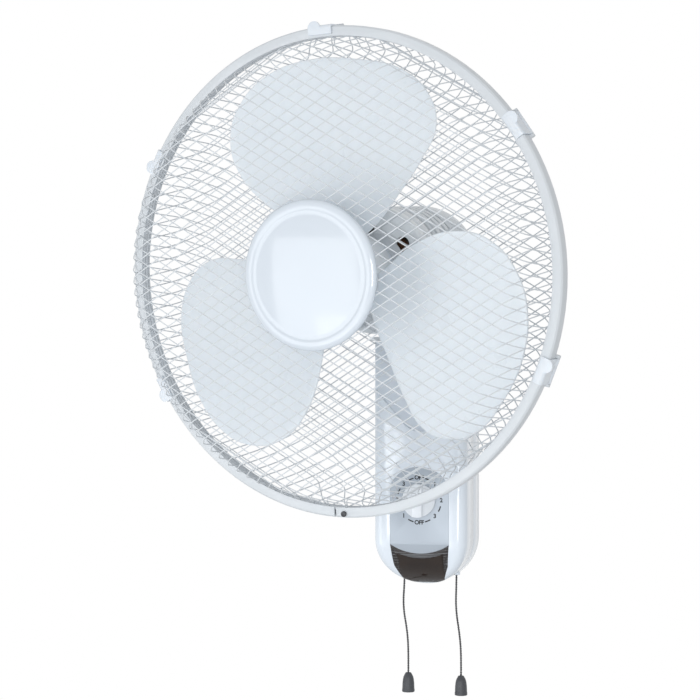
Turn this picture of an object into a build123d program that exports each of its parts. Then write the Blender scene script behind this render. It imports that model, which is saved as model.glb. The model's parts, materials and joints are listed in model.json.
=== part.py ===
from build123d import *
import math
import os

os.makedirs("parts", exist_ok=True)

# ---------------------------------------------------------------- driving sizes (mm, degrees)
# The wall is the plane y = 0, the fan looks along -Y, and the origin is the middle of the wall screws.

# where the head is
pivot_depth = 52.0  # swing axis in front of the wall
reach = 165.6  # swing axis to the plane of the guard ring, along the head axis
swing_at_rest = -15.4  # the head is turned this far from straight ahead
nod_at_rest = -3.9  # and leans this far down

# general
turning_fit = 0.05  # radial play of a shaft in its bore
seat_gap = 0.3  # play between pieces that lie beside each other
snug = 0.1  # play of a piece in its seat
sheet = 2.4  # wall of the moulded shells

# column
column_width = 88.0
column_depth = 66.0
column_back = 18.0  # back of the column to the wall
column_top = 72.0
column_foot = -156.0  # lowest point of its round foot
front_round = 9.0
foot_lean = 34.0  # how far the face leans back down to the foot
split_depth = 46.0  # the two shells part this far from the wall
neckline_side = 29.0  # height of the neckline at the column's sides
neckline_low = -22.0  # and in its middle
neckline_round = 20.0
shoulder_round = 12.0
neckline_step = 8.0  # how far the face steps back above it
lip_wall = 1.2
lip_length = 3.0
shell_screws_from = (11.0, 62.0)  # below the column's top, above its foot
shell_screw_radius = 1.5
shell_screw_inset = 10.0  # from the column's sides
shell_screw_head = (2.9, 2.4)  # radius, length
shell_screw_grip = 16.0  # how far it goes into the front shell
screw_web = 5.0  # wall under its head
boss_wall = 2.2
neck_play = 2.0  # round the swing shaft, where it leaves the column

# wall bracket
bracket_size = (60.0, 120.0)
bracket_sheet = 2.5
bracket_round = 4.0
bracket_rim = 10.0  # its side walls are this much shorter
wall_screw_spacing = (40.0, 90.0)
wall_screw_hole = 2.5
hook_side = 14.0
hook_size = (8.0, 4.0, 12.0)  # width, neck height, tongue height
hook_height = 26.0
lock_screw_radius = 2.0
lock_screw_length = 12.0
lock_head = (4.0, 2.4)  # radius, length
lock_tab_width = 16.0
lock_tab_reach = 6.0  # from the wall
inlet_height = -88.0  # hole of the mains lead, in the back
inlet_radius = 5.0
inlet_bore = 3.2
inlet_flange = (7.0, 1.5)  # radius, thickness
inlet_out = 4.0  # how far it stands out of the back

# panel, window, dial
dial_height = -75.1
panel_width = 56.0
panel_arch = 31.0  # radius of its arched top, round the dial
panel_draw = ((0.0, 40.0), (2.4, 19.0), (9.4, 3.0))  # its sides draw in by this, so far above the foot
panel_thick = 1.4
window_arc = 50.0  # radius of the window's top edge, round the dial
window_border = 4.6
window_wrap = 29.0  # how far it wraps under the foot
window_sill = 4.5  # ledge under the window, from the foot
dial_radius = 15.6
dial_out = 12.5
dial_ridge = (9.5, 11.0)  # width at its top and at its root
dial_shoulder = (9.0, 4.0)  # height of the dial beside the ridge and at its rim
spindle_radius = 3.0
spindle_play = 1.0  # in the panel
spindle_grip = (6.0, 3.5)  # how far it goes into the dial, and stays off the switch's back
switch_size = (30.0, 36.0, 17.0)
switch_round = 3.0
contact_size = (3.0, 0.8, 6.0)
contact_pitch = 6.0
swing_switch_size = (16.0, 14.0)  # width, height
swing_switch_play = 4.0  # over its lever
capacitor_size = (38.0, 28.0, 17.0)
capacitor_centre = (-14.0, -20.0)
terminal_size = (34.0, 14.0, 11.0)
terminal_height = -58.0
terminal_well = (5.5, 9.0, 4.0)
terminal_pitch = 8.0

# pull cords
cord_side = 25.2  # each way from the middle
cord_depth = 33.0  # from the wall
cord_diameter = 2.0
eyelet_radius = 3.4
eyelet_bore = 1.5
eyelet_length = 8.0
eyelet_out = 1.0
bell_radius = 6.0
bell_length = 18.5
bell_wall = 1.6
bell_hollow = 4.0
lever_height = -126.0
lever_arm = 20.0
lever_half = 3.0
lever_thick = 4.0
post_radius = 2.0
post_wall = 2.0
speed_rod = 27.0  # the speed lever's second arm, up to the switch
speed_rod_off = 6.0  # its play behind the switch
left_cord = ((-25.2, -33.0, -129.3), (-25.2, -33.0, -155.0), (-27.0, -33.3, -180.0),
             (-22.6, -32.7, -205.0), (-21.5, -33.2, -225.0), (-21.7, -33.0, -243.5))
right_cord = ((25.2, -33.0, -129.3), (25.2, -33.0, -155.0), (24.2, -32.8, -181.0),
              (28.4, -33.2, -207.0), (29.7, -33.0, -226.0), (29.5, -33.1, -244.8))

# guards
ring_radius = 215.0
ring_depth = 9.0  # from its outside to its lips
ring_half_width = 6.2
ring_wall = 1.8
ring_chamfer = 1.5
ring_split = (8.0, 2.0)  # the ring's gap: its place beside the bottom, and its width
hoop_inset = 6.8  # the hoops' middle, from the ring's outside
hoop_half = 1.6
hoop_offset = 2.0
wire = 1.4
wire_gap = 0.15  # between the two layers of wires
wire_pitch = 20.0
wire_lean = 30.0
front_face = 49.0  # front mesh ahead of the ring plane
front_bend = (6.6, 34.0)  # where its wall bends inwards: from the ring's lips, and ahead
front_flat = 22.0  # where its flat middle starts, from the ring's lips
rear_face = -59.5
rear_bend = (10.0, -37.0)
rear_flat = 30.0
rear_plate_radius = 34.0
rear_plate_thick = 1.6
rear_plate_overlap = 4.0  # the wires reach this far over the plate
peg_radius = 2.0
peg_inset = 5.0  # from the plate's edge
clip_angles = (-23.5, 34.5, 92.0, 150.5, 209.0)
clip_width = 23.0
clip_sheet = 1.8
clip_notch = 1.0
clip_finger = (6.0, 5.5, 5.0)  # radius of its round finger grip, off its middle, proud of the ring
hinge_radius = 2.3
hinge_pin = 1.2
hinge_lug = 2.4
hinge_off = 3.2  # its pin behind the ring
ring_screw_radius = 1.4
ring_screw_head = (2.6, 1.6)
ring_nut_size = (2.9, 2.4)
guard_nut_size = (24.0, 6.4)  # radius, thickness
guard_nut_lobes = 6
lobe_radius = 3.0

# badge
badge_radius = 65.0
badge_sheet = 2.0
badge_rim = 4.0
badge_dome = 5.0
badge_lip = 10.0
badge_bead = 0.8  # how far its rounded lip stands up
badge_back_radius = 36.0
badge_back_thick = 2.0
badge_screw_radius = 1.3
badge_screw_head = (2.6, 1.6)
badge_boss_wall = 1.7

# propeller
tip_gap = 18.0  # blade tips to the ring's lips
hub_radius = 34.0
hub_length = 34.0
hub_wall = 2.5
hub_round = 5.0
hub_boss = 11.0
drive_pin_size = (1.5, 18.0)  # radius, length
drive_pin_set = 2.0  # its middle behind the hub
blade_count = 3
blade_angle = 86.3
blade_thick = 2.4
blade_sections = ((24.0, -13.0, 0.33), (60.0, -12.0, 0.26), (110.0, -10.5, 0.21), (196.0, -7.5, 0.23))
blade_camber = 0.00037
blade_sheet = (-95.0, 120.0)  # the sheet that the outline is cut from, either way of the blade's line
blade_out = 188.0  # reach of the outline as it is given here
blade_outline = ((0, 25), (30, 36), (60, 50), (97, 85), (106, 118), (95, 150), (72, 172), (36, 185.5),
                 (-10, 186.5), (-48, 178), (-72, 157), (-79, 130), (-66, 101), (-45, 70), (-24, 42))
spinner_radius = 16.0
spinner_length = 14.0
spinner_sides = 8
nut_chamfer = 1.2

# motor, measured along the head axis behind the ring plane
motor_radius = 57.5
motor_rear = -182.0
cover_round = 28.0
cover_seam = -71.0
motor_sheet = 2.0
motor_chamfer = 2.5
bearing_set = 5.0  # bearings behind the motor's front
bearing_wall = 4.5
rear_seat = 7.0  # length of the rear bearing's seat
vent_radius = 7.0
vent_circle = 38.0
vent_count = 6
vent_angle = 97.0
cover_vents = (-86.0, -96.0, -106.0, -116.0, -126.0)
cover_vent_width = 3.0
cover_vent_groups = (28.0, 100.0)
cover_vent_sweep = 52.0
cover_screw_size = (1.5, 16.0)
cover_screw_head = (3.2, 2.2)
cover_post = 6.0
shaft_radius = 4.0
shaft_ends = (-126.0, 10.0)
boss_radius = 17.0
boss_front = -52.6
bearing_radius = 8.0
bearing_length = 10.0
stator_radius = 42.0
stator_front = -84.0
stator_length = 30.0
rotor_radius = 20.6
air_gap = 0.5
winding_length = 7.5
winding_gap = 4.0  # between the windings and the edges of the core
core_sides = 12
end_front = -124.0
motor_plate = 3.0
bolt_circle = 47.0
bolt_radius = 2.0
bolt_boss = 2.0  # wall round a bolt
bolt_grip = 10.0
bolt_head = (3.8, 3.0)
yoke_plate = 4.0
yoke_height = 88.0  # the yoke's plate, cut flat at its top and bottom
yoke_arm = (16.0, 40.0)  # the arm's root, below the head axis
tilt_drop = 57.0  # tilt axis below the head axis, over the swing axis
tilt_rise = 14.0  # tilt axis above the column
knuckle_radius = 8.0
knuckle_width = 10.0
ear_thick = 5.0
tilt_bolt_radius = 3.0
tilt_bolt_end = 8.0
tilt_bolt_head = (5.4, 3.5)
tilt_nut_size = (8.0, 7.0)
tilt_slot = (44.0, 14.0, 46.0)  # opening under the motor cover: width, and behind and ahead of the tilt bolt

# swing drive
swing_shaft_radius = 10.0
swing_shaft_low = 22.0  # foot of the swing shaft, below the column's top
groove = (1.2, 1.4)  # depth and width of the retaining ring's groove
thrust_width = 7.0
pivot_block_round = 3.0
pivot_block_size = (48.0, 13.5)  # width, height
pivot_block_wall = 4.5  # ahead of the swing shaft
collar_size = (57.0, 38.0, 4.0)  # half width, half depth, thickness
collar_rise = 0.8  # its underside above the column
crank_centre = (26.0, 14.0)  # from the swing axis, to the side and to the rear
crank_radius = 8.92
crank_at_middle = 100.8  # direction of the crank pin while the head looks straight ahead
crank_ratio = 1.54  # crank turn for each degree of swing, on average
link_length = 26.23
link_at_middle = 197.8
link_ratio = -0.106
rocker_radius = 14.0
pin_radius = 2.0
open_play = 1.4  # play of the rocker pin in the link's long eye
link_thick = 3.0
link_width = 5.0
link_low = 5.0  # below the foot of the swing shaft
eye_wall = 2.4
crank_plate = 3.5
swing_motor_size = (20.0, 22.0)
swing_motor_play = 1.6  # beside the column's side
swing_motor_back = 8.0  # its middle behind the swing axis
swing_motor_well = 8.0  # floor of the crank's well, above the shelf
shelf_low = 29.0  # shelf of the swing motor, below the link
arm_wall = 3.0
arm_thick = 3.8

# ---------------------------------------------------------------- frames
turn = math.radians(swing_at_rest)
nod = math.radians(nod_at_rest)
forward = Vector(math.sin(turn) * math.cos(nod), -math.cos(turn) * math.cos(nod), math.sin(nod))
across = Vector(math.cos(turn), math.sin(turn), 0)
axis_height = column_top + tilt_rise + tilt_drop  # head axis above the origin
swing_centre = Vector(0, -pivot_depth, axis_height)
head = Plane(origin=swing_centre + forward * reach, x_dir=across, z_dir=forward)
head_axis = Axis(head.origin, head.z_dir)
profile = Plane(origin=head.origin, x_dir=head.x_dir, z_dir=-head.y_dir)  # (radius, ahead)
spine = Plane(origin=head.origin, x_dir=head.y_dir, z_dir=head.x_dir)  # (up, ahead)
tilt_point = swing_centre - Vector(0, 0, tilt_drop)
tilt_up = (tilt_point - head.origin).dot(head.y_dir)
tilt_ahead = (tilt_point - head.origin).dot(head.z_dir)
knuckle = Plane(origin=tilt_point, x_dir=(-math.sin(turn), math.cos(turn), 0), z_dir=across)  # (back, up)
swing_axis = Axis((0, -pivot_depth, 0), (0, 0, 1))
swing_profile = Plane(origin=(0, -pivot_depth, 0), x_dir=(1, 0, 0), z_dir=(0, -1, 0))  # (radius, height)

ring_lip = ring_radius - ring_depth
hoop_radius = ring_radius - hoop_inset
front_depth = column_back + column_depth  # front face to the wall
back_inside = column_back + sheet
foot_centre = column_foot + column_width / 2
foot_bend = (foot_lean**2 + (column_width / 2) ** 2) / (2 * foot_lean)  # radius of the leaning face
screw_side = column_width / 2 - shell_screw_inset
upper_height = column_top - shell_screws_from[0]
lower_height = column_foot + shell_screws_from[1]
upper_screws = ((screw_side, upper_height), (-screw_side, upper_height))
lower_screws = ((screw_side, lower_height), (-screw_side, lower_height))
shell_screws_at = upper_screws + lower_screws
lock_screw_depth = (column_back + lock_screw_radius) / 2
collar_height = column_top + collar_rise
swing_shaft_foot = column_top - swing_shaft_low
link_height = swing_shaft_foot - link_low
shelf_height = link_height - shelf_low
swing_motor_centre = (column_width / 2 - sheet - swing_motor_play - swing_motor_size[0], swing_motor_back)


def keep(piece, name):
    piece.part.label = name
    export_step(piece.part, f"parts/{name}.step")


def front_plane(depth):
    """The upright plane this far from the wall, seen from the front."""
    return Plane.XZ.offset(depth)


def head_plane(ahead):
    return head.offset(ahead)


def radial_plane(angle):
    """The (radius, ahead) plane at this angle round the head axis."""
    a = math.radians(angle)
    radial = head.x_dir * math.cos(a) + head.y_dir * math.sin(a)
    tangent = head.y_dir * math.cos(a) - head.x_dir * math.sin(a)
    return Plane(origin=head.origin, x_dir=radial, z_dir=-tangent)


def swing_plane(height, angle=0):
    """A level plane on the swing axis, turned by this angle; its y points to the rear."""
    a = math.radians(angle)
    return Plane(origin=(0, -pivot_depth, height), x_dir=(math.cos(a), math.sin(a), 0), z_dir=(0, 0, 1))


# ---------------------------------------------------------------- column
def column_outline(inset, mode=Mode.ADD):
    half = column_width / 2 - inset
    with Locations((0, foot_centre)):
        Circle(half, mode=mode)
    with Locations((0, (foot_centre + column_top - inset) / 2)):
        Rectangle(2 * half, column_top - inset - foot_centre, mode=mode)


def column_form(inset):
    """The column's outer form, taken in by inset on every side."""
    with BuildPart() as form:
        with BuildSketch(front_plane(column_back + inset)):
            column_outline(inset)
        extrude(amount=column_depth - 2 * inset)
        # side view: upright, then leaning back over the foot on an arc
        with BuildSketch(Plane.YZ.offset(-column_width)):
            with Locations((foot_bend - front_depth, foot_centre)):
                Circle(foot_bend - inset)
            with Locations((column_width + inset - front_depth, foot_centre + 2 * column_width)):
                Rectangle(2 * column_width, 4 * column_width)
            with Locations((column_width + foot_bend - front_depth, foot_centre)):
                Rectangle(2 * column_width, 8 * column_width)
        extrude(amount=2 * column_width, mode=Mode.INTERSECT)
        face = form.faces().filter_by(Axis.Y).sort_by(Axis.Y)[0]
        lean = form.faces().filter_by(GeomType.CYLINDER).sort_by(Axis.Y)[0]
        edges = face.edges() + lean.edges()
        rim = [edge for edge in edges if len([e for e in edges if e.is_same(edge)]) == 1]
        fillet(rim, front_round - inset)
        with BuildSketch(front_plane(front_depth + 1)):
            with BuildLine():
                FilletPolyline(
                    (-column_width, neckline_side - inset),
                    (-column_width / 2, neckline_side - inset),
                    (0, neckline_low - inset),
                    (column_width / 2, neckline_side - inset),
                    (column_width, neckline_side - inset),
                    radius=[shoulder_round, neckline_round, shoulder_round],
                )
                Polyline(
                    (column_width, neckline_side - inset),
                    (column_width, column_top + 1),
                    (-column_width, column_top + 1),
                    (-column_width, neckline_side - inset),
                )
            make_face()
        extrude(amount=-(neckline_step + 1 + inset), mode=Mode.SUBTRACT)
    return form.part


column_solid = column_form(0)
column_hollow = column_form(sheet)
inlay_floor = column_form(panel_thick)
step_depth = front_depth - neckline_step - sheet  # inside of the face above the neckline
boss_radius_outer = shell_screw_radius + boss_wall
well_radius = shell_screw_head[0] + seat_gap
well_depth = split_depth - 1 - screw_web
eyelet_foot = foot_centre - math.sqrt((column_width / 2) ** 2 - cord_side**2) - eyelet_out
post_side = cord_side - lever_arm
switch_back = front_depth - sheet - switch_size[2]
speed_rod_depth = switch_back - speed_rod_off
slot_middle = hook_height + (hook_size[1] - hook_size[2]) / 2  # the shell hangs on the hooks' necks
shelf_side = swing_motor_centre[0] + swing_motor_size[0]

with BuildPart() as rear_shell:
    add(column_solid)
    add(column_hollow, mode=Mode.SUBTRACT)
    split(bisect_by=front_plane(split_depth), keep=Keep.BOTTOM)
    with BuildSketch(front_plane(split_depth - lip_length)):
        column_outline(sheet - lip_wall + snug)
        column_outline(sheet, Mode.SUBTRACT)
    extrude(amount=2 * lip_length)
    # screw wells
    with BuildSketch(front_plane(back_inside - 1)):
        with Locations(*shell_screws_at):
            Circle(well_radius + boss_wall)
    extrude(amount=split_depth - back_inside)
    with BuildSketch(front_plane(column_back)):
        with Locations(*shell_screws_at):
            Circle(well_radius)
    extrude(amount=well_depth - column_back, mode=Mode.SUBTRACT)
    with BuildSketch(front_plane(column_back)):
        with Locations(*shell_screws_at):
            Circle(shell_screw_radius + seat_gap)
    extrude(amount=split_depth, mode=Mode.SUBTRACT)
    # shelf of the swing motor
    with BuildSketch(Plane.XY.offset(shelf_height - sheet)):
        with Locations((shelf_side / 2, -(back_inside - 1 + pivot_depth) / 2)):
            Rectangle(shelf_side, pivot_depth - back_inside + 1)
    extrude(amount=sheet)
    # posts of the two levers
    with BuildSketch(front_plane(back_inside - 1)):
        with Locations((-post_side, lever_height)):
            Circle(post_radius)
    extrude(amount=speed_rod_depth + 2 - back_inside)
    with BuildSketch(front_plane(back_inside - 1)):
        with Locations((post_side, lever_height)):
            Circle(post_radius)
    extrude(amount=cord_depth + lever_thick - back_inside)
    # holes of the eyelets, the neck and the mains lead
    with BuildSketch(Plane.XY.offset(column_foot)):
        with Locations((-cord_side, -cord_depth), (cord_side, -cord_depth)):
            Circle(eyelet_radius + snug)
    extrude(amount=column_width / 2, mode=Mode.SUBTRACT)
    with BuildSketch(swing_plane(column_top - 2 * sheet)):
        Circle(swing_shaft_radius + neck_play)
    extrude(amount=3 * sheet, mode=Mode.SUBTRACT)
    with BuildSketch(front_plane(column_back - 1)):
        with Locations((0, inlet_height)):
            Circle(inlet_radius + snug)
    extrude(amount=sheet + 2, mode=Mode.SUBTRACT)
    # slots for the bracket's hooks
    with BuildSketch(front_plane(column_back - 1)):
        with Locations((-hook_side, slot_middle), (hook_side, slot_middle)):
            Rectangle(hook_size[0] + 2 * seat_gap, hook_size[2] + 2 * seat_gap)
    extrude(amount=sheet + 2, mode=Mode.SUBTRACT)
    # tab of the locking screw
    with BuildSketch(Plane.XY.offset(-bracket_size[1] / 2 - snug - sheet)):
        with Locations((0, -(column_back + lock_tab_reach) / 2)):
            Rectangle(lock_tab_width, column_back - lock_tab_reach + 1)
        with Locations((0, -lock_screw_depth)):
            Circle(lock_screw_radius + snug, mode=Mode.SUBTRACT)
    extrude(amount=sheet)
keep(rear_shell, "rear_shell")


panel_side = panel_width / 2


def inlay_band(play):
    """Sketch helper: the band of the panel and window, with its arched top round the dial."""
    edge = [(panel_side - play - drawn, column_foot + height) for drawn, height in panel_draw]
    edge = [(edge[0][0], dial_height), *edge, (edge[-1][0], column_foot - 1)]
    Polygon(*edge, *[(-x, z) for x, z in reversed(edge)], align=None)
    with Locations((0, dial_height)):
        Circle(panel_arch - play)
        Rectangle(2 * (panel_side - play), 4 * column_width, mode=Mode.INTERSECT)


with BuildPart() as inlay_recess:
    with BuildSketch(front_plane(front_depth - window_wrap)):
        inlay_band(0)
    extrude(amount=window_wrap + 1)
    add(column_solid, mode=Mode.INTERSECT)
    add(inlay_floor, mode=Mode.SUBTRACT)

with BuildPart() as front_shell:
    add(column_solid)
    add(column_hollow, mode=Mode.SUBTRACT)
    split(bisect_by=front_plane(split_depth), keep=Keep.TOP)
    with BuildSketch(front_plane(split_depth)):
        column_outline(sheet - lip_wall)
    extrude(amount=lip_length + seat_gap, mode=Mode.SUBTRACT)
    # bosses that take the shell screws; the upper two end on the recessed face
    for places, front in ((upper_screws, step_depth), (lower_screws, front_depth - sheet)):
        with BuildSketch(front_plane(split_depth - 1 + snug)):
            with Locations(*places):
                Circle(boss_radius_outer)
                Circle(shell_screw_radius + turning_fit, mode=Mode.SUBTRACT)
        extrude(amount=front + 1 - split_depth)
    with BuildSketch(swing_plane(column_top - 2 * sheet)):
        Circle(swing_shaft_radius + neck_play)
    extrude(amount=3 * sheet, mode=Mode.SUBTRACT)
    add(inlay_recess.part, mode=Mode.SUBTRACT)
    # opening behind the window, and the hole of the spindle
    with BuildSketch(front_plane(front_depth - window_wrap + window_sill)):
        inlay_band(window_border)
        with Locations((0, dial_height)):
            Circle(window_arc + window_border, mode=Mode.SUBTRACT)
    extrude(amount=window_wrap - window_sill + 1, mode=Mode.SUBTRACT)
    with BuildSketch(front_plane(front_depth - sheet - 1)):
        with Locations((0, dial_height)):
            Circle(spindle_radius + spindle_play)
    extrude(amount=sheet + 2, mode=Mode.SUBTRACT)
keep(front_shell, "front_shell")

with BuildPart() as control_panel:
    with BuildSketch(front_plane(front_depth - window_wrap)):
        inlay_band(snug)
        with Locations((0, dial_height)):
            Circle(window_arc, mode=Mode.INTERSECT)
            Circle(spindle_radius + spindle_play, mode=Mode.SUBTRACT)
    extrude(amount=window_wrap + 1)
    add(column_solid, mode=Mode.INTERSECT)
    add(inlay_floor, mode=Mode.SUBTRACT)
keep(control_panel, "control_panel")

with BuildPart() as smoked_window:
    with BuildSketch(front_plane(front_depth - window_wrap)):
        inlay_band(snug)
        with Locations((0, dial_height)):
            Circle(window_arc + snug, mode=Mode.SUBTRACT)
    extrude(amount=window_wrap + 1)
    add(column_solid, mode=Mode.INTERSECT)
    add(inlay_floor, mode=Mode.SUBTRACT)
keep(smoked_window, "smoked_window")

with BuildPart() as shell_screws:
    with BuildSketch(front_plane(well_depth - shell_screw_head[1])):
        with Locations(*shell_screws_at):
            RegularPolygon(shell_screw_head[0], 6)
    extrude(amount=shell_screw_head[1])
    with BuildSketch(front_plane(well_depth)):
        with Locations(*shell_screws_at):
            Circle(shell_screw_radius)
    extrude(amount=screw_web + shell_screw_grip)
keep(shell_screws, "shell_screws")

# ---------------------------------------------------------------- wall bracket
bracket_side, bracket_end = bracket_size[0] / 2, bracket_size[1] / 2
bracket_front = column_back - seat_gap

with BuildPart() as wall_bracket:
    with BuildSketch(front_plane(0)):
        RectangleRounded(*bracket_size, bracket_round)
        with GridLocations(*wall_screw_spacing, 2, 2):
            Circle(wall_screw_hole, mode=Mode.SUBTRACT)
    extrude(amount=bracket_sheet)
    # side walls
    with BuildSketch(front_plane(bracket_sheet)):
        with Locations((-bracket_side + bracket_sheet / 2, 0), (bracket_side - bracket_sheet / 2, 0)):
            Rectangle(bracket_sheet, bracket_size[1] - bracket_rim)
    extrude(amount=bracket_front - bracket_sheet)
    # bridge that carries the hooks
    with BuildSketch(front_plane(bracket_front - bracket_sheet)):
        with Locations((0, hook_height)):
            Rectangle(2 * bracket_side - bracket_sheet, hook_size[2])
    extrude(amount=bracket_sheet)
    with BuildSketch(front_plane(bracket_front)):
        with Locations((-hook_side, hook_height), (hook_side, hook_height)):
            Rectangle(hook_size[0], hook_size[1])
    extrude(amount=back_inside - bracket_front + seat_gap)
    with BuildSketch(front_plane(back_inside + seat_gap)):
        with Locations(
            (-hook_side, hook_height + (hook_size[2] - hook_size[1]) / 2),
            (hook_side, hook_height + (hook_size[2] - hook_size[1]) / 2),
        ):
            Rectangle(hook_size[0], hook_size[2])
    extrude(amount=bracket_sheet)
    # foot with the hole of the locking screw
    with BuildSketch(Plane.XY.offset(-bracket_end)):
        with Locations((0, -bracket_front / 2)):
            Rectangle(lock_tab_width, bracket_front)
        with Locations((0, -lock_screw_depth)):
            Circle(lock_screw_radius + turning_fit, mode=Mode.SUBTRACT)
    extrude(amount=bracket_sheet)
keep(wall_bracket, "wall_bracket")

with BuildPart() as bracket_screw:
    with BuildSketch(Plane.XY.offset(-bracket_end - snug - sheet)):
        with Locations((0, -lock_screw_depth)):
            Circle(lock_screw_radius)
    extrude(amount=lock_screw_length)
    with BuildSketch(Plane.XY.offset(-bracket_end - snug - sheet)):
        with Locations((0, -lock_screw_depth)):
            RegularPolygon(lock_head[0], 6)
    extrude(amount=-lock_head[1])
keep(bracket_screw, "bracket_screw")

with BuildPart() as cable_inlet:
    with BuildSketch(front_plane(column_back - inlet_out)):
        with Locations((0, inlet_height)):
            Circle(inlet_radius)
            Circle(inlet_bore, mode=Mode.SUBTRACT)
    extrude(amount=inlet_out + sheet + inlet_flange[1])
    with BuildSketch(front_plane(back_inside + snug)):
        with Locations((0, inlet_height)):
            Circle(inlet_flange[0])
            Circle(inlet_bore, mode=Mode.SUBTRACT)
    extrude(amount=inlet_flange[1])
keep(cable_inlet, "cable_inlet")

# ---------------------------------------------------------------- inside the column
with BuildPart() as speed_switch:
    with BuildSketch(front_plane(switch_back)):
        with Locations((0, dial_height)):
            RectangleRounded(switch_size[0], switch_size[1], switch_round)
    extrude(amount=switch_size[2] - snug)
    with BuildSketch(front_plane(switch_back + spindle_grip[1] - snug)):
        with Locations((0, dial_height)):
            Circle(spindle_radius + turning_fit)
    extrude(amount=switch_size[2], mode=Mode.SUBTRACT)
    with BuildSketch(front_plane(switch_back)):
        with Locations((0, dial_height)):
            with GridLocations(contact_pitch, 1, 4, 1):
                Rectangle(contact_size[0], contact_size[1])
    extrude(amount=-contact_size[2])
keep(speed_switch, "speed_switch")

swing_switch_foot = lever_height + lever_half + swing_switch_play

with BuildPart() as swing_switch:
    with BuildSketch(Plane.XY.offset(swing_switch_foot)):
        with Locations((post_side, -(back_inside + snug + cord_depth + lever_thick) / 2)):
            Rectangle(swing_switch_size[0], cord_depth + lever_thick - back_inside - snug)
    extrude(amount=swing_switch_size[1])
keep(swing_switch, "swing_switch")

with BuildPart() as run_capacitor:
    with BuildSketch(front_plane(back_inside + snug)):
        with Locations(capacitor_centre):
            RectangleRounded(capacitor_size[0], capacitor_size[1], switch_round)
    extrude(amount=capacitor_size[2])
keep(run_capacitor, "run_capacitor")

with BuildPart() as terminal_block:
    with BuildSketch(front_plane(back_inside + snug)):
        with Locations((0, terminal_height)):
            Rectangle(terminal_size[0], terminal_size[1])
    extrude(amount=terminal_size[2])
    with BuildSketch(front_plane(back_inside + snug + terminal_size[2])):
        with Locations((0, terminal_height)):
            with GridLocations(terminal_pitch, 1, 4, 1):
                Rectangle(terminal_well[0], terminal_well[1])
    extrude(amount=-terminal_well[2], mode=Mode.SUBTRACT)
keep(terminal_block, "terminal_block")

with BuildPart() as cord_eyelets:
    with BuildSketch(Plane.XY.offset(eyelet_foot)):
        with Locations((-cord_side, -cord_depth), (cord_side, -cord_depth)):
            Circle(eyelet_radius)
    extrude(amount=eyelet_length)
    with BuildSketch(Plane.XY.offset(eyelet_foot)):
        with Locations((-cord_side, -cord_depth), (cord_side, -cord_depth)):
            Circle(eyelet_bore)
    extrude(amount=eyelet_length, mode=Mode.SUBTRACT)
keep(cord_eyelets, "cord_eyelets")


def lever(side, second_arm):
    """A lever on its post; a pull cord hangs from its round end."""
    with BuildPart() as body:
        with BuildSketch(front_plane(cord_depth - lever_thick / 2)):
            with Locations((side * (post_side + lever_arm / 2), lever_height)):
                SlotCenterToCenter(lever_arm, 2 * lever_half)
            with Locations((side * post_side, lever_height)):
                Circle(post_radius + post_wall)
                Circle(post_radius + turning_fit, mode=Mode.SUBTRACT)
        extrude(amount=lever_thick)
        if second_arm:
            with BuildSketch(front_plane(cord_depth + lever_thick / 2)):
                with Locations((side * post_side, lever_height)):
                    Circle(post_radius + post_wall)
                    Circle(post_radius + turning_fit, mode=Mode.SUBTRACT)
            extrude(amount=speed_rod_depth - cord_depth - lever_thick / 2)
            with BuildSketch(front_plane(speed_rod_depth - lever_thick)):
                with Locations((side * post_side, lever_height + second_arm / 2)):
                    SlotCenterToCenter(second_arm, 2 * lever_half - 1, rotation=90)
                with Locations((side * post_side, lever_height)):
                    Circle(post_radius + turning_fit, mode=Mode.SUBTRACT)
            extrude(amount=lever_thick)
    return body


speed_lever = lever(-1, speed_rod)
keep(speed_lever, "speed_lever")
swing_lever = lever(1, 0)
keep(swing_lever, "swing_lever")

# ---------------------------------------------------------------- dial
with BuildPart() as switch_spindle:
    with BuildSketch(front_plane(switch_back + spindle_grip[1])):
        with Locations((0, dial_height)):
            Circle(spindle_radius)
    extrude(amount=front_depth + spindle_grip[0] - switch_back - spindle_grip[1])
keep(switch_spindle, "switch_spindle")

with BuildPart() as speed_knob:
    with BuildSketch(front_plane(front_depth + seat_gap)):
        with Locations((0, dial_height)):
            Circle(dial_radius)
    extrude(amount=dial_out)
    # the ridge, and the flanks that fall from it to the rim
    dial_middle = (0, -front_depth - seat_gap, dial_height)
    with BuildSketch(Plane(origin=dial_middle, x_dir=(1, 0, 0), z_dir=(0, 0, 1))):
        with BuildLine():
            side = [(-dial_radius, 0), (-dial_radius, -dial_shoulder[1]),
                    (-dial_ridge[1] / 2, -dial_shoulder[0]), (-dial_ridge[0] / 2, -dial_out)]
            Polyline(*side, *[(-x, y) for x, y in reversed(side)], close=True)
        make_face()
    extrude(amount=2 * dial_radius, both=True, mode=Mode.INTERSECT)
    with BuildSketch(front_plane(front_depth)):
        with Locations((0, dial_height)):
            Circle(spindle_radius + turning_fit)
    extrude(amount=spindle_grip[0] + snug, mode=Mode.SUBTRACT)
keep(speed_knob, "speed_knob")


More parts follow.
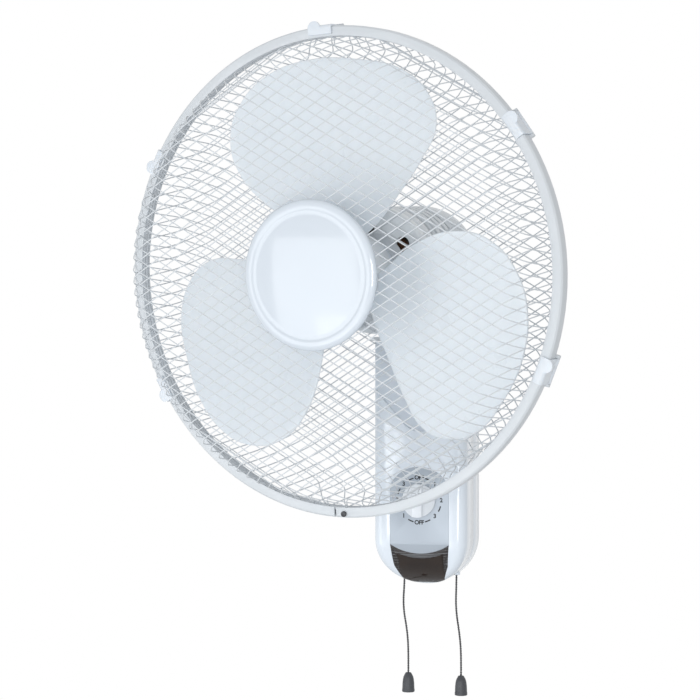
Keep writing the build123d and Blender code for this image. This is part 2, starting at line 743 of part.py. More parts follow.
# ---------------------------------------------------------------- pull cords
def pull(route, name):
    """A cord along its route with the bell at its end."""
    points = [Vector(*point) for point in route]
    radii = []
    for before, point, after in zip(points, points[1:], points[2:]):
        bend = math.radians((point - before).get_angle(after - point))
        shorter = min((point - before).length, (after - point).length)
        radii.append(0.45 * shorter / math.tan(bend / 2))
    with BuildPart() as cord:
        with BuildLine():
            path = FilletPolyline(*points, radius=radii)
        with BuildSketch(Plane(origin=path @ 0, z_dir=path % 0)):
            RegularPolygon(cord_diameter / 2, 8)
        sweep(path=path)
    section = 2 * math.sqrt(2) * (cord_diameter / 2) ** 2
    print(name, "radii", [round(r) for r in radii], "length", round(path.length, 1),
          "volume / (section x length)", round(cord.part.volume / section / path.length, 4))
    keep(cord, f"{name}_cord")
    end = path @ 1
    with BuildPart() as bell:
        with BuildSketch(Plane(origin=end, x_dir=(1, 0, 0), z_dir=(0, -1, 0))):
            with BuildLine():
                Polyline(
                    (0, 0),
                    (bell_radius * 0.5, 0),
                    (bell_radius * 0.88, -bell_length * 0.36),
                    (bell_radius, -bell_length),
                    (bell_radius - bell_wall, -bell_length),
                    (bell_radius - bell_wall, -bell_length + bell_hollow),
                    (0, -bell_length + bell_hollow),
                    close=True,
                )
            make_face()
        revolve(axis=Axis(end, (0, 0, 1)))
    keep(bell, f"{name}_bell")


pull(left_cord, "speed")
pull(right_cord, "swing")

# ---------------------------------------------------------------- swing drive
rest_crank = math.radians(crank_at_middle + crank_ratio * swing_at_rest)
rest_link = math.radians(link_at_middle + link_ratio * swing_at_rest)
crank_point = Vector(crank_centre[0], crank_centre[1])
crank_pin = crank_point + Vector(math.cos(rest_crank), math.sin(rest_crank)) * crank_radius
link_end = crank_pin + Vector(math.cos(rest_link), math.sin(rest_link)) * link_length
rocker_pin = Vector(-math.sin(turn), math.cos(turn)) * rocker_radius
crank_stem = pin_radius + 1
crank_foot = link_height - seat_gap - crank_plate

with BuildPart() as swing_motor:
    with BuildSketch(swing_plane(shelf_height + snug)):
        with Locations(swing_motor_centre):
            Circle(swing_motor_size[0])
    extrude(amount=swing_motor_size[1] - snug)
    with BuildSketch(swing_plane(shelf_height + swing_motor_well)):
        with Locations(crank_centre):
            Circle(crank_stem + turning_fit)
    extrude(amount=swing_motor_size[1], mode=Mode.SUBTRACT)
keep(swing_motor, "swing_motor")

with BuildPart() as swing_crank:
    with BuildSketch(swing_plane(shelf_height + swing_motor_well + 1)):
        with Locations(crank_centre):
            Circle(crank_stem)
    extrude(amount=crank_foot - shelf_height - swing_motor_well - 1)
    with BuildSketch(swing_plane(crank_foot)):
        with Locations(crank_centre):
            Circle(crank_radius + crank_stem)
    extrude(amount=crank_plate)
    with BuildSketch(swing_plane(crank_foot + crank_plate)):
        with Locations(crank_pin):
            Circle(pin_radius)
    extrude(amount=link_thick + 3 * seat_gap)
keep(swing_crank, "swing_crank")

with BuildPart() as swing_link:
    with BuildSketch(swing_plane(link_height)):
        with Locations(crank_pin):
            Circle(pin_radius + eye_wall)
        with Locations(link_end):
            Circle(pin_radius + open_play + eye_wall)
        with Locations((crank_pin + link_end) / 2):
            Rectangle(link_length, link_width, rotation=math.degrees(rest_link))
        with Locations(crank_pin):
            Circle(pin_radius + turning_fit, mode=Mode.SUBTRACT)
        with Locations(link_end):
            Circle(pin_radius + open_play, mode=Mode.SUBTRACT)
    extrude(amount=link_thick)
keep(swing_link, "swing_link")

ring_height = swing_shaft_foot + arm_thick + seat_gap + snug
block_foot = column_top - sheet - snug - pivot_block_size[1]
block_depth = pivot_depth + swing_shaft_radius + pivot_block_wall - back_inside - snug

with BuildPart() as pivot_block:
    with BuildSketch(swing_plane(block_foot)):
        with Locations((0, pivot_depth - back_inside - snug - block_depth / 2)):
            RectangleRounded(pivot_block_size[0], block_depth, pivot_block_round)
        Circle(swing_shaft_radius + turning_fit, mode=Mode.SUBTRACT)
    extrude(amount=pivot_block_size[1])
keep(pivot_block, "pivot_block")

with BuildPart() as thrust_washer:
    with BuildSketch(swing_plane(column_top + turning_fit)):
        Circle(swing_shaft_radius + 1 + thrust_width)
        Circle(swing_shaft_radius + 1, mode=Mode.SUBTRACT)
    extrude(amount=collar_height - column_top - 2 * turning_fit)
keep(thrust_washer, "thrust_washer")

with BuildPart() as neck:
    with BuildSketch(swing_profile):
        with BuildLine():
            Polyline(
                (0, swing_shaft_foot),
                (swing_shaft_radius, swing_shaft_foot),
                (swing_shaft_radius, ring_height),
                (swing_shaft_radius - groove[0], ring_height),
                (swing_shaft_radius - groove[0], ring_height + groove[1]),
                (swing_shaft_radius, ring_height + groove[1]),
                (swing_shaft_radius, collar_height + 1),
                (0, collar_height + 1),
                close=True,
            )
        make_face()
    revolve(axis=swing_axis)
    with BuildSketch(swing_plane(collar_height, swing_at_rest)):
        Ellipse(collar_size[0], collar_size[1])
    extrude(amount=collar_size[2])
    for offset in (knuckle_width / 2 + seat_gap, -knuckle_width / 2 - seat_gap - ear_thick):
        with BuildSketch(knuckle.offset(offset)):
            Circle(knuckle_radius)
            with Locations((0, -(axis_height - tilt_drop - collar_height - 1) / 2)):
                Rectangle(2 * knuckle_radius, axis_height - tilt_drop - collar_height - 1)
            Circle(tilt_bolt_radius + turning_fit, mode=Mode.SUBTRACT)
        extrude(amount=ear_thick)
keep(neck, "neck")

with BuildPart() as swing_arm:
    with BuildSketch(swing_plane(swing_shaft_foot)):
        Circle(swing_shaft_radius + arm_wall)
        with Locations(rocker_pin):
            Circle(pin_radius + eye_wall)
        Circle(swing_shaft_radius + turning_fit, mode=Mode.SUBTRACT)
    extrude(amount=arm_thick)
    with BuildSketch(swing_plane(link_height - seat_gap)):
        with Locations(rocker_pin):
            Circle(pin_radius)
    extrude(amount=swing_shaft_foot - link_height + 1)
keep(swing_arm, "swing_arm")

with BuildPart() as retaining_ring:
    with BuildSketch(swing_plane(ring_height + snug)):
        Circle(swing_shaft_radius + arm_wall)
        Circle(swing_shaft_radius - groove[0] + snug, mode=Mode.SUBTRACT)
        with Locations((0, swing_shaft_radius)):
            Rectangle(swing_shaft_radius, 1.5 * swing_shaft_radius, mode=Mode.SUBTRACT)
    extrude(amount=groove[1] - 2 * snug)
keep(retaining_ring, "retaining_ring")

ear_out = knuckle_width / 2 + seat_gap + ear_thick

with BuildPart() as tilt_bolt:
    with BuildSketch(knuckle.offset(-ear_out - snug)):
        Circle(tilt_bolt_radius)
    extrude(amount=2 * ear_out + tilt_bolt_end)
    with BuildSketch(knuckle.offset(-ear_out - snug)):
        RegularPolygon(tilt_bolt_head[0], 6)
    extrude(amount=-tilt_bolt_head[1])
keep(tilt_bolt, "tilt_bolt")

with BuildPart() as tilt_nut:
    with BuildSketch(knuckle.offset(ear_out + snug)):
        Circle(tilt_nut_size[0])
        with PolarLocations(tilt_nut_size[0], 3):
            Circle(tilt_nut_size[0] / 4)
        Circle(tilt_bolt_radius + turning_fit, mode=Mode.SUBTRACT)
    extrude(amount=tilt_nut_size[1])
keep(tilt_nut, "tilt_nut")

# ---------------------------------------------------------------- motor
motor_front = rear_face - wire / 2 - rear_plate_thick - snug  # behind the rear guard's middle plate
end_back = end_front - motor_plate  # rear face of the motor's rear bracket
yoke_back = end_back - snug - yoke_plate
yoke_radius = bolt_circle + bolt_radius + 3


def ring_of(outer, inner, front, length):
    """A plain round piece on the head axis."""
    with BuildPart() as body:
        with BuildSketch(head_plane(front - length)):
            Circle(outer)
            Circle(inner, mode=Mode.SUBTRACT)
        extrude(amount=length)
    return body


with BuildPart() as motor_front_cover:
    with BuildSketch(profile):
        with BuildLine():
            Polyline(
                (shaft_radius + 1, boss_front),
                (boss_radius, boss_front),
                (boss_radius, motor_front),
                (motor_radius - motor_chamfer, motor_front),
                (motor_radius, motor_front - motor_chamfer),
                (motor_radius, cover_seam),
                (motor_radius - motor_sheet, cover_seam),
                (motor_radius - motor_sheet, motor_front - motor_plate),
                (bearing_radius + bearing_wall, motor_front - motor_plate),
                (bearing_radius + bearing_wall, motor_front - bearing_set - bearing_length),
                (bearing_radius + turning_fit, motor_front - bearing_set - bearing_length),
                (bearing_radius + turning_fit, motor_front - bearing_set),
                (shaft_radius + 1, motor_front - bearing_set),
                close=True,
            )
        make_face()
    revolve(axis=head_axis)
    with BuildSketch(head_plane(motor_front + 1)):
        with PolarLocations(vent_circle, vent_count, start_angle=vent_angle):
            Circle(vent_radius)
    extrude(amount=-motor_plate - 2, mode=Mode.SUBTRACT)
    with BuildSketch(head_plane(motor_front - motor_plate + 1)):
        with PolarLocations(bolt_circle, 4, start_angle=45):
            Circle(bolt_radius + bolt_boss)
    extrude(amount=stator_front - motor_front + motor_plate - 1)
    with BuildSketch(head_plane(stator_front)):
        with PolarLocations(bolt_circle, 4, start_angle=45):
            Circle(bolt_radius + turning_fit)
    extrude(amount=bolt_grip + 2, mode=Mode.SUBTRACT)
    # pegs that stop the rear guard from turning
    with BuildSketch(head_plane(motor_front - 1)):
        with PolarLocations(rear_plate_radius - peg_inset, 2):
            Circle(peg_radius)
    extrude(amount=1 + snug + rear_plate_thick)
keep(motor_front_cover, "motor_front")

bearing_front = motor_front - bearing_set - snug
front_bearing = ring_of(bearing_radius, shaft_radius + turning_fit, bearing_front, bearing_length)
keep(front_bearing, "front_bearing")

with BuildPart() as stator_core:
    with BuildSketch(head_plane(stator_front - snug - stator_length)):
        RegularPolygon(stator_radius, core_sides)
        Circle(rotor_radius + air_gap, mode=Mode.SUBTRACT)
    extrude(amount=stator_length)
keep(stator_core, "stator_core")

with BuildPart() as windings:
    for near in (stator_front, stator_front - stator_length - 2 * snug - winding_length):
        with BuildSketch(head_plane(near)):
            RegularPolygon(stator_radius - winding_gap, core_sides)
            RegularPolygon(rotor_radius + winding_gap, core_sides, mode=Mode.SUBTRACT)
        extrude(amount=winding_length)
keep(windings, "windings")

with BuildPart() as rear_bracket:
    with BuildSketch(profile):
        with BuildLine():
            Polyline(
                (bearing_radius + turning_fit, end_back),
                (yoke_radius, end_back),
                (yoke_radius, end_front),
                (bearing_radius + bearing_wall, end_front),
                (bearing_radius + bearing_wall, end_front + rear_seat),
                (bearing_radius + turning_fit, end_front + rear_seat),
                close=True,
            )
        make_face()
    revolve(axis=head_axis)
    with BuildSketch(head_plane(end_back)):
        with PolarLocations(bolt_circle, 4, start_angle=45):
            Circle(bolt_radius + bolt_boss)
    extrude(amount=stator_front - stator_length - end_back - 2)
    with BuildSketch(head_plane(end_back)):
        with PolarLocations(bolt_circle, 4, start_angle=45):
            Circle(bolt_radius + turning_fit)
    extrude(amount=stator_length, mode=Mode.SUBTRACT)
keep(rear_bracket, "rear_bracket")

bearing_front = end_back + snug + bearing_length
rear_bearing = ring_of(bearing_radius, shaft_radius + turning_fit, bearing_front, bearing_length)
keep(rear_bearing, "rear_bearing")

cover_boss_back = motor_rear + motor_sheet + snug

with BuildPart() as tilt_yoke:
    with BuildSketch(head_plane(yoke_back)):
        Circle(yoke_radius)
        with PolarLocations(bolt_circle, 4, start_angle=45):
            Circle(bolt_radius + turning_fit, mode=Mode.SUBTRACT)
        Rectangle(2 * yoke_radius, yoke_height, mode=Mode.INTERSECT)
    extrude(amount=yoke_plate)
    with BuildSketch(head_plane(cover_boss_back)):
        Circle(cover_post)
    extrude(amount=yoke_back - cover_boss_back)
    with BuildSketch(head_plane(cover_boss_back)):
        Circle(cover_screw_size[0] + turning_fit)
    extrude(amount=cover_screw_size[1] + 2, mode=Mode.SUBTRACT)
    # arm down to the knuckle
    with BuildSketch(spine.offset(-knuckle_width / 2)):
        with Locations((tilt_up, tilt_ahead)):
            Circle(knuckle_radius)
        with BuildLine():
            Polyline(
                (-yoke_arm[0], yoke_back + 1),
                (-yoke_arm[1], yoke_back + 1),
                (tilt_up + 2, tilt_ahead + knuckle_radius * 0.95),
                (tilt_up + knuckle_radius * 0.8, tilt_ahead - knuckle_radius * 0.6),
                close=True,
            )
        make_face()
        with Locations((tilt_up, tilt_ahead)):
            Circle(tilt_bolt_radius + turning_fit, mode=Mode.SUBTRACT)
    extrude(amount=knuckle_width)
keep(tilt_yoke, "tilt_yoke")

with BuildPart() as motor_bolts:
    with BuildSketch(head_plane(yoke_back)):
        with PolarLocations(bolt_circle, 4, start_angle=45):
            Circle(bolt_radius)
    extrude(amount=stator_front + bolt_grip - yoke_back)
    with BuildSketch(head_plane(yoke_back)):
        with PolarLocations(bolt_circle, 4, start_angle=45):
            RegularPolygon(bolt_head[0], 6)
    extrude(amount=-bolt_head[1])
keep(motor_bolts, "motor_bolts")

with BuildPart() as motor_cover:
    for inset, mode in ((0, Mode.ADD), (motor_sheet, Mode.SUBTRACT)):
        outer, back, bend = motor_radius - inset, motor_rear + inset, cover_round - inset
        front = cover_seam - snug + inset
        with BuildSketch(profile):
            with BuildLine():
                Polyline((0, front), (outer, front), (outer, back + bend))
                RadiusArc((outer, back + bend), (outer - bend, back), bend)
                Polyline((outer - bend, back), (0, back), (0, front))
            make_face()
        revolve(axis=head_axis, mode=mode)
    with BuildSketch(head_plane(motor_rear - 1)):
        Circle(cover_screw_size[0] + seat_gap)
    extrude(amount=motor_sheet + 2, mode=Mode.SUBTRACT)
    # slot for the neck
    with BuildSketch(spine.offset(-tilt_slot[0] / 2)):
        with Locations((tilt_up, tilt_ahead + (tilt_slot[2] - tilt_slot[1]) / 2)):
            Rectangle(3.5 * knuckle_radius, tilt_slot[1] + tilt_slot[2])
    extrude(amount=tilt_slot[0], mode=Mode.SUBTRACT)
    # vents, in two groups over the top
    for start in cover_vent_groups:
        with BuildSketch(radial_plane(start)):
            for ahead in cover_vents:
                with Locations((motor_radius, ahead)):
                    Rectangle(4 * motor_sheet, cover_vent_width)
        revolve(axis=head_axis, revolution_arc=cover_vent_sweep, mode=Mode.SUBTRACT)
keep(motor_cover, "motor_cover")

with BuildPart() as cover_screw:
    with BuildSketch(head_plane(motor_rear)):
        Circle(cover_screw_size[0])
    extrude(amount=cover_screw_size[1])
    with BuildSketch(head_plane(motor_rear)):
        Circle(cover_screw_head[0])
    extrude(amount=-cover_screw_head[1])
keep(cover_screw, "cover_screw")

# ---------------------------------------------------------------- rotor
with BuildPart() as motor_shaft:
    with BuildSketch(head_plane(shaft_ends[0])):
        Circle(shaft_radius)
    extrude(amount=shaft_ends[1] - shaft_ends[0])
    with BuildSketch(profile.offset(-2 * shaft_radius)):
        with Locations((0, -hub_length - drive_pin_set)):
            Circle(drive_pin_size[0] + turning_fit)
    extrude(amount=4 * shaft_radius, mode=Mode.SUBTRACT)
    chamfer(motor_shaft.edges().filter_by(GeomType.CIRCLE).sort_by(head_axis)[-1], 0.8)
keep(motor_shaft, "motor_shaft")

rotor_core = ring_of(rotor_radius, shaft_radius + turning_fit, stator_front, stator_length)
keep(rotor_core, "rotor_core")

with BuildPart() as drive_pin:
    with BuildSketch(profile.offset(-drive_pin_size[1] / 2)):
        with Locations((0, -hub_length - drive_pin_set)):
            Circle(drive_pin_size[0])
    extrude(amount=drive_pin_size[1])
keep(drive_pin, "drive_pin")

blade_scale = (ring_lip - tip_gap) / blade_out


def blade(angle):
    """One blade: a cambered sheet that twists outwards, cut to the blade's outline."""
    a = math.radians(angle)
    radial = head.x_dir * math.cos(a) + head.y_dir * math.sin(a)
    tangent = head.y_dir * math.cos(a) - head.x_dir * math.sin(a)
    with BuildPart() as body:
        for out, rise, slope in blade_sections:
            def surface(u):
                return rise + slope * u + blade_camber * u * u

            root = head.origin + radial * out * blade_scale
            with BuildSketch(Plane(origin=root, x_dir=tangent, z_dir=radial)):
                with BuildLine():
                    left, right = [blade_scale * u for u in blade_sheet]
                    middle = (left + right) / 2
                    ThreePointArc((left, surface(left)), (middle, surface(middle)), (right, surface(right)))
                    Line((right, surface(right)), (right, surface(right) - blade_thick))
                    ThreePointArc((right, surface(right) - blade_thick),
                                  (middle, surface(middle) - blade_thick),
                                  (left, surface(left) - blade_thick))
                    Line((left, surface(left) - blade_thick), (left, surface(left)))
                make_face()
        loft()
        with BuildSketch(Plane(origin=head.origin - forward * 2 * hub_length, x_dir=tangent, z_dir=forward)):
            with BuildLine():
                Spline(*[(blade_scale * u, -blade_scale * v) for u, v in blade_outline], periodic=True)
            make_face()
        extrude(amount=4 * hub_length, mode=Mode.INTERSECT)
    return body.part


with BuildPart() as propeller:
    for number in range(blade_count):
        add(blade(blade_angle + number * 360 / blade_count))
    with BuildSketch(head_plane(-hub_length)):
        Circle(hub_radius)
    extrude(amount=hub_length)
    fillet(propeller.faces().sort_by(head_axis)[-1].edges(), hub_round)
    with BuildSketch(head_plane(-hub_length)):
        Circle(hub_radius - hub_wall)
        Circle(hub_boss, mode=Mode.SUBTRACT)
    extrude(amount=hub_length - hub_round, mode=Mode.SUBTRACT)
    with BuildSketch(head_plane(-hub_length)):
        Circle(shaft_radius + turning_fit)
    extrude(amount=hub_length + 1, mode=Mode.SUBTRACT)
keep(propeller, "propeller")

with BuildPart() as spinner_nut:
    with BuildSketch(head_plane(snug)):
        RegularPolygon(spinner_radius, spinner_sides)
    extrude(amount=spinner_length)
    chamfer(spinner_nut.faces().sort_by(head_axis)[-1].edges(), nut_chamfer)
    with BuildSketch(head_plane(0)):
        Circle(shaft_radius + turning_fit)
    extrude(amount=shaft_ends[1] + 1, mode=Mode.SUBTRACT)
keep(spinner_nut, "spinner_nut")

# ---------------------------------------------------------------- guards
def layer_of_wires(path, lean, hole):
    """Parallel bent wires that lean by this angle; path gives (radius, ahead) from the rim inwards.

    Wires that would cross the round hole in the middle stop at its edge.
    """
    a = math.radians(lean)
    along = head.x_dir * math.cos(a) + head.y_dir * math.sin(a)
    aside = head.y_dir * math.cos(a) - head.x_dir * math.sin(a)
    bars = []
    count = math.floor(path[0][0] / wire_pitch - 0.5) + 1
    for step in range(-count, count):
        s = (step + 0.5) * wire_pitch
        half = [(math.sqrt(r * r - s * s), h) for r, h in path if r > abs(s) + 4]
        if len(half) < 2:
            continue
        if hole > abs(s):
            stop = math.sqrt(hole * hole - s * s)
            runs = [half + [(stop, half[-1][1])], [(-t, h) for t, h in half] + [(-stop, half[-1][1])]]
        else:
            runs = [half + [(-t, h) for t, h in reversed(half)]]
        for run in runs:
            with BuildPart() as bar:
                with BuildSketch(Plane(origin=head.origin + aside * s, x_dir=along, z_dir=-aside)):
                    with BuildLine():
                        Polyline(*run)
                    trace(line_width=wire)
                extrude(amount=wire / 2, both=True)
            bars.append(bar.part.solid())
    return bars


def mesh_guard(bend_at, flat_at, face, hole, name, extras=()):
    """Two crossing layers of wires with the hoop that their ends meet."""
    side = 1 if face > 0 else -1
    bend, flat = (ring_lip - bend_at[0], bend_at[1]), ring_lip - flat_at
    inward = wire + wire_gap
    end = hoop_radius - hoop_half - snug / 2
    outer = [(end, side * (hoop_offset + 0.9)), (ring_lip - 1.1, side * (hoop_offset + 1.6)),
             bend, (flat, face)]
    inner = [(end, side * (hoop_offset - 0.9)), (ring_lip - 1.1 - inward, side * (hoop_offset - 0.4))]
    inner += [(r - inward, h - side * inward) for r, h in (bend, (flat, face))]
    pieces = layer_of_wires(outer, wire_lean, hole) + layer_of_wires(inner, -wire_lean, hole)
    with BuildPart() as hoop:
        with BuildSketch(head_plane(side * hoop_offset - hoop_half)):
            Circle(hoop_radius + hoop_half)
            Circle(hoop_radius - hoop_half, mode=Mode.SUBTRACT)
        extrude(amount=2 * hoop_half)
    guard = Compound(label=name, children=[*pieces, hoop.part.solid(), *extras])
    export_step(guard, f"parts/{name}.step")
    return guard


front_guard = mesh_guard(front_bend, front_flat, front_face, 0, "front_guard")

plate_front = rear_face - wire / 2

with BuildPart() as rear_plate:
    with BuildSketch(head_plane(plate_front - rear_plate_thick)):
        Circle(rear_plate_radius)
        Circle(boss_radius + snug, mode=Mode.SUBTRACT)
        with PolarLocations(rear_plate_radius - peg_inset, 2):
            Circle(peg_radius + snug, mode=Mode.SUBTRACT)
    extrude(amount=rear_plate_thick)

rear_guard = mesh_guard(rear_bend, rear_flat, rear_face, rear_plate_radius - rear_plate_overlap, "rear_guard",
                        [rear_plate.part.solid()])

with BuildPart() as guard_nut:
    with BuildSketch(head_plane(plate_front)):
        Circle(guard_nut_size[0])
        with PolarLocations(guard_nut_size[0], guard_nut_lobes):
            Circle(lobe_radius)
        Circle(boss_radius + turning_fit, mode=Mode.SUBTRACT)
    extrude(amount=guard_nut_size[1])
keep(guard_nut, "guard_nut")

notch_floor = ring_radius - clip_notch
hinge_at = (ring_radius - 0.2, -ring_half_width - hinge_off)

with BuildPart() as guard_ring:
    with BuildSketch(profile):
        with BuildLine():
            w, h, c = ring_wall, ring_half_width, ring_chamfer
            Polyline(
                (ring_lip, h), (ring_radius - c, h), (ring_radius, h - c), (ring_radius, -h + c),
                (ring_radius - c, -h), (ring_lip, -h), (ring_lip, -h + w),
                (ring_radius - w, -h + w), (ring_radius - w, h - w), (ring_lip, h - w), close=True,
            )
        make_face()
    revolve(axis=head_axis)
    for angle in clip_angles:
        with BuildSketch(radial_plane(angle)):
            with Locations((notch_floor + 2, 0)):
                Rectangle(4, 3 * ring_half_width)
        extrude(amount=clip_width / 2 + seat_gap, both=True, mode=Mode.SUBTRACT)
        # lugs and pin of the clip's hinge
        for side in (-1, 1):
            lug_plane = radial_plane(angle).offset(side * (clip_width / 2 + seat_gap + hinge_lug / 2))
            with BuildSketch(lug_plane):
                with Locations(hinge_at):
                    Circle(hinge_radius)
                lug_middle = (hinge_at[1] - ring_half_width) / 2 + 0.25
                with Locations((hinge_at[0] - hinge_radius / 2 - 0.5, lug_middle)):
                    Rectangle(hinge_radius + 1, -hinge_at[1] - ring_half_width + 0.5)
            extrude(amount=hinge_lug / 2, both=True)
        with BuildSketch(radial_plane(angle)):
            with Locations(hinge_at):
                Circle(hinge_pin)
        extrude(amount=clip_width / 2 + 1, both=True)
    # split at the bottom, and the hole of the closing screw
    with BuildSketch(radial_plane(270).offset(ring_split[0])):
        with Locations((ring_radius, 0)):
            Rectangle(4 * ring_depth, 4 * ring_half_width)
    extrude(amount=ring_split[1], mode=Mode.SUBTRACT)
    screw_at = ring_radius - ring_wall - ring_screw_radius - 0.2
    with BuildSketch(head_plane(0)):
        with Locations((0, -screw_at)):
            Circle(ring_screw_radius + turning_fit)
    extrude(amount=2 * ring_half_width, both=True, mode=Mode.SUBTRACT)
keep(guard_ring, "guard_ring")

with BuildPart() as ring_screw:
    with BuildSketch(head_plane(ring_half_width)):
        with Locations((0, -screw_at)):
            Circle(ring_screw_radius)
    extrude(amount=-2 * ring_half_width - 4)
    with BuildSketch(head_plane(ring_half_width)):
        with Locations((0, -screw_at)):
            Circle(ring_screw_head[0])
    extrude(amount=ring_screw_head[1])
keep(ring_screw, "ring_screw")

with BuildPart() as ring_nut:
    with BuildSketch(head_plane(-ring_half_width - ring_nut_size[1])):
        with Locations((0, -screw_at)):
            RegularPolygon(ring_nut_size[0], 6)
            Circle(ring_screw_radius + turning_fit, mode=Mode.SUBTRACT)
    extrude(amount=ring_nut_size[1])
keep(ring_nut, "ring_nut")

clip_out = ring_radius - clip_notch + seat_gap + clip_sheet / 2
clip_front = ring_half_width + seat_gap + clip_sheet

for number, angle in enumerate(clip_angles, 1):
    with BuildPart() as clip:
        with BuildSketch(radial_plane(angle)):
            with BuildLine():
                FilletPolyline(
                    hinge_at,
                    (clip_out, -ring_half_width + ring_chamfer),
                    (clip_out, clip_front - clip_sheet / 2),
                    (ring_lip + clip_sheet, clip_front - clip_sheet / 2),
                    radius=[1.5 * clip_sheet, clip_sheet],
                )
            trace(line_width=clip_sheet)
            with Locations(hinge_at):
                Circle(hinge_radius)
                Circle(hinge_pin + turning_fit, mode=Mode.SUBTRACT)
        extrude(amount=clip_width / 2, both=True)
        # round finger grip
        outwards = radial_plane(angle).x_dir
        turned = Plane(origin=head_plane(clip_front).origin, x_dir=outwards, z_dir=head.z_dir)
        with BuildSketch(turned):
            with Locations((ring_radius + clip_finger[2] - clip_finger[0], clip_finger[1])):
                Circle(clip_finger[0])
        extrude(amount=-clip_sheet)
    keep(clip, f"guard_clip_{number}")

# ---------------------------------------------------------------- badge
badge_foot = front_face + wire / 2 + snug
badge_screw_circle = wire_pitch / math.cos(math.radians(wire_lean))
dome_edge = badge_radius - badge_lip
dome_ball = (dome_edge**2 + badge_dome**2) / (2 * badge_dome)


def dome_height(radius):
    """How far the badge's dome stands over its edge at this radius."""
    return math.sqrt(dome_ball**2 - radius**2) - dome_ball + badge_dome


with BuildPart() as badge:
    with BuildSketch(profile):
        with BuildLine():
            rim, floor, middle = badge_foot + badge_rim, badge_foot + badge_rim - badge_sheet, dome_edge / 2
            Line((0, floor + badge_dome), (0, rim + badge_dome))
            ThreePointArc((0, rim + badge_dome), (middle, rim + dome_height(middle)), (dome_edge, rim))
            Polyline((dome_edge, rim), (dome_edge + 2 * badge_bead, rim + badge_bead),
                     (badge_radius - badge_sheet, rim + badge_bead / 2), (badge_radius, rim - badge_bead),
                     (badge_radius, badge_foot),
                     (badge_radius - badge_sheet, badge_foot), (badge_radius - badge_sheet, floor),
                     (dome_edge, floor))
            ThreePointArc((dome_edge, floor), (middle, floor + dome_height(middle)), (0, floor + badge_dome))
        make_face()
    revolve(axis=head_axis)
    with BuildSketch(head_plane(badge_foot)):
        with PolarLocations(badge_screw_circle, 3, start_angle=90):
            Circle(badge_screw_radius + badge_boss_wall)
    extrude(amount=badge_rim + dome_height(badge_screw_circle) - badge_sheet / 2)
    with BuildSketch(head_plane(badge_foot - 1)):
        with PolarLocations(badge_screw_circle, 3, start_angle=90):
            Circle(badge_screw_radius + turning_fit)
    extrude(amount=badge_rim, mode=Mode.SUBTRACT)
keep(badge, "badge")

back_front = front_face - 1.5 * wire - wire_gap - snug

with BuildPart() as badge_back:
    with BuildSketch(head_plane(back_front)):
        Circle(badge_back_radius)
        with PolarLocations(badge_screw_circle, 3, start_angle=90):
            Circle(badge_screw_radius + turning_fit, mode=Mode.SUBTRACT)
    extrude(amount=-badge_back_thick)
keep(badge_back, "badge_back")

with BuildPart() as badge_screws:
    with BuildSketch(head_plane(back_front - badge_back_thick)):
        with PolarLocations(badge_screw_circle, 3, start_angle=90):
            Circle(badge_screw_radius)
    extrude(amount=badge_foot - back_front + badge_rim)
    with BuildSketch(head_plane(back_front - badge_back_thick)):
        with PolarLocations(badge_screw_circle, 3, start_angle=90):
            RegularPolygon(badge_screw_head[0], 6)
    extrude(amount=-badge_screw_head[1])
keep(badge_screws, "badge_screws")
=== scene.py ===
import json
import math

import bpy
from mathutils import Matrix, Vector


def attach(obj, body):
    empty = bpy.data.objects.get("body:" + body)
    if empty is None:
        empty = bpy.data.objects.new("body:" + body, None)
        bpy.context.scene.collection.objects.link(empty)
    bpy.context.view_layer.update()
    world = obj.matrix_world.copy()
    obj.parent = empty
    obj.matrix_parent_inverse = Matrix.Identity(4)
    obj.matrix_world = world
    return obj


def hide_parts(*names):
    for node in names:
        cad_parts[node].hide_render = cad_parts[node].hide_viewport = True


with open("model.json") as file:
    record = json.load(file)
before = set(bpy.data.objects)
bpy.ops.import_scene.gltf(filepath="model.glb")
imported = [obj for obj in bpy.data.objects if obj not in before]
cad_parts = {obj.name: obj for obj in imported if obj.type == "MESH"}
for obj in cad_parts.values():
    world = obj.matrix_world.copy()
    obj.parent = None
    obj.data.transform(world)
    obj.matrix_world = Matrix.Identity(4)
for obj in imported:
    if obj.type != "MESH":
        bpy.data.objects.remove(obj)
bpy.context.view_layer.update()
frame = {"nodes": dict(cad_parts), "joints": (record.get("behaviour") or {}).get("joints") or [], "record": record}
cadNodes = frame["nodes"]
jointNamed = {joint["name"]: joint for joint in frame["joints"]}
mm = 0.001
print("frame loaded,", len(cadNodes), "nodes")

# the head's own axes: x to its right, y up, z ahead, from the middle of the guard ring
ahead = Vector(jointNamed["blade_spin"]["axis"]).normalized()
across = -Vector(jointNamed["tilt"]["axis"]).normalized()
headMatrix = Matrix((across, ahead.cross(across), ahead)).transposed().to_4x4()
headMatrix.translation = Vector(jointNamed["blade_spin"]["pos_m"])

# camera
camera = {"place": (0.4160, -2.0016, 0.0644), "turn": 14.12, "lens": 108.5, "sensor": 36.0}
bpy.ops.object.camera_add(location=camera["place"],
                          rotation=(math.radians(90), 0, math.radians(camera["turn"])))
cameraObject = bpy.context.object
cameraObject.data.lens = camera["lens"]
cameraObject.data.sensor_width = camera["sensor"]
bpy.context.scene.camera = cameraObject


# small helpers
def pick(piece):
    # only this piece is selected and active
    bpy.ops.object.select_all(action="DESELECT")
    piece.select_set(True)
    bpy.context.view_layer.objects.active = piece


def editMode(on):
    bpy.ops.object.mode_set(mode="EDIT" if on else "OBJECT")


def applyModifier(piece, kind, **facts):
    modifier = piece.modifiers.new(kind.lower(), kind)
    for fact, value in facts.items():
        setattr(modifier, fact, value)
    pick(piece)
    bpy.ops.object.modifier_apply(modifier=modifier.name)


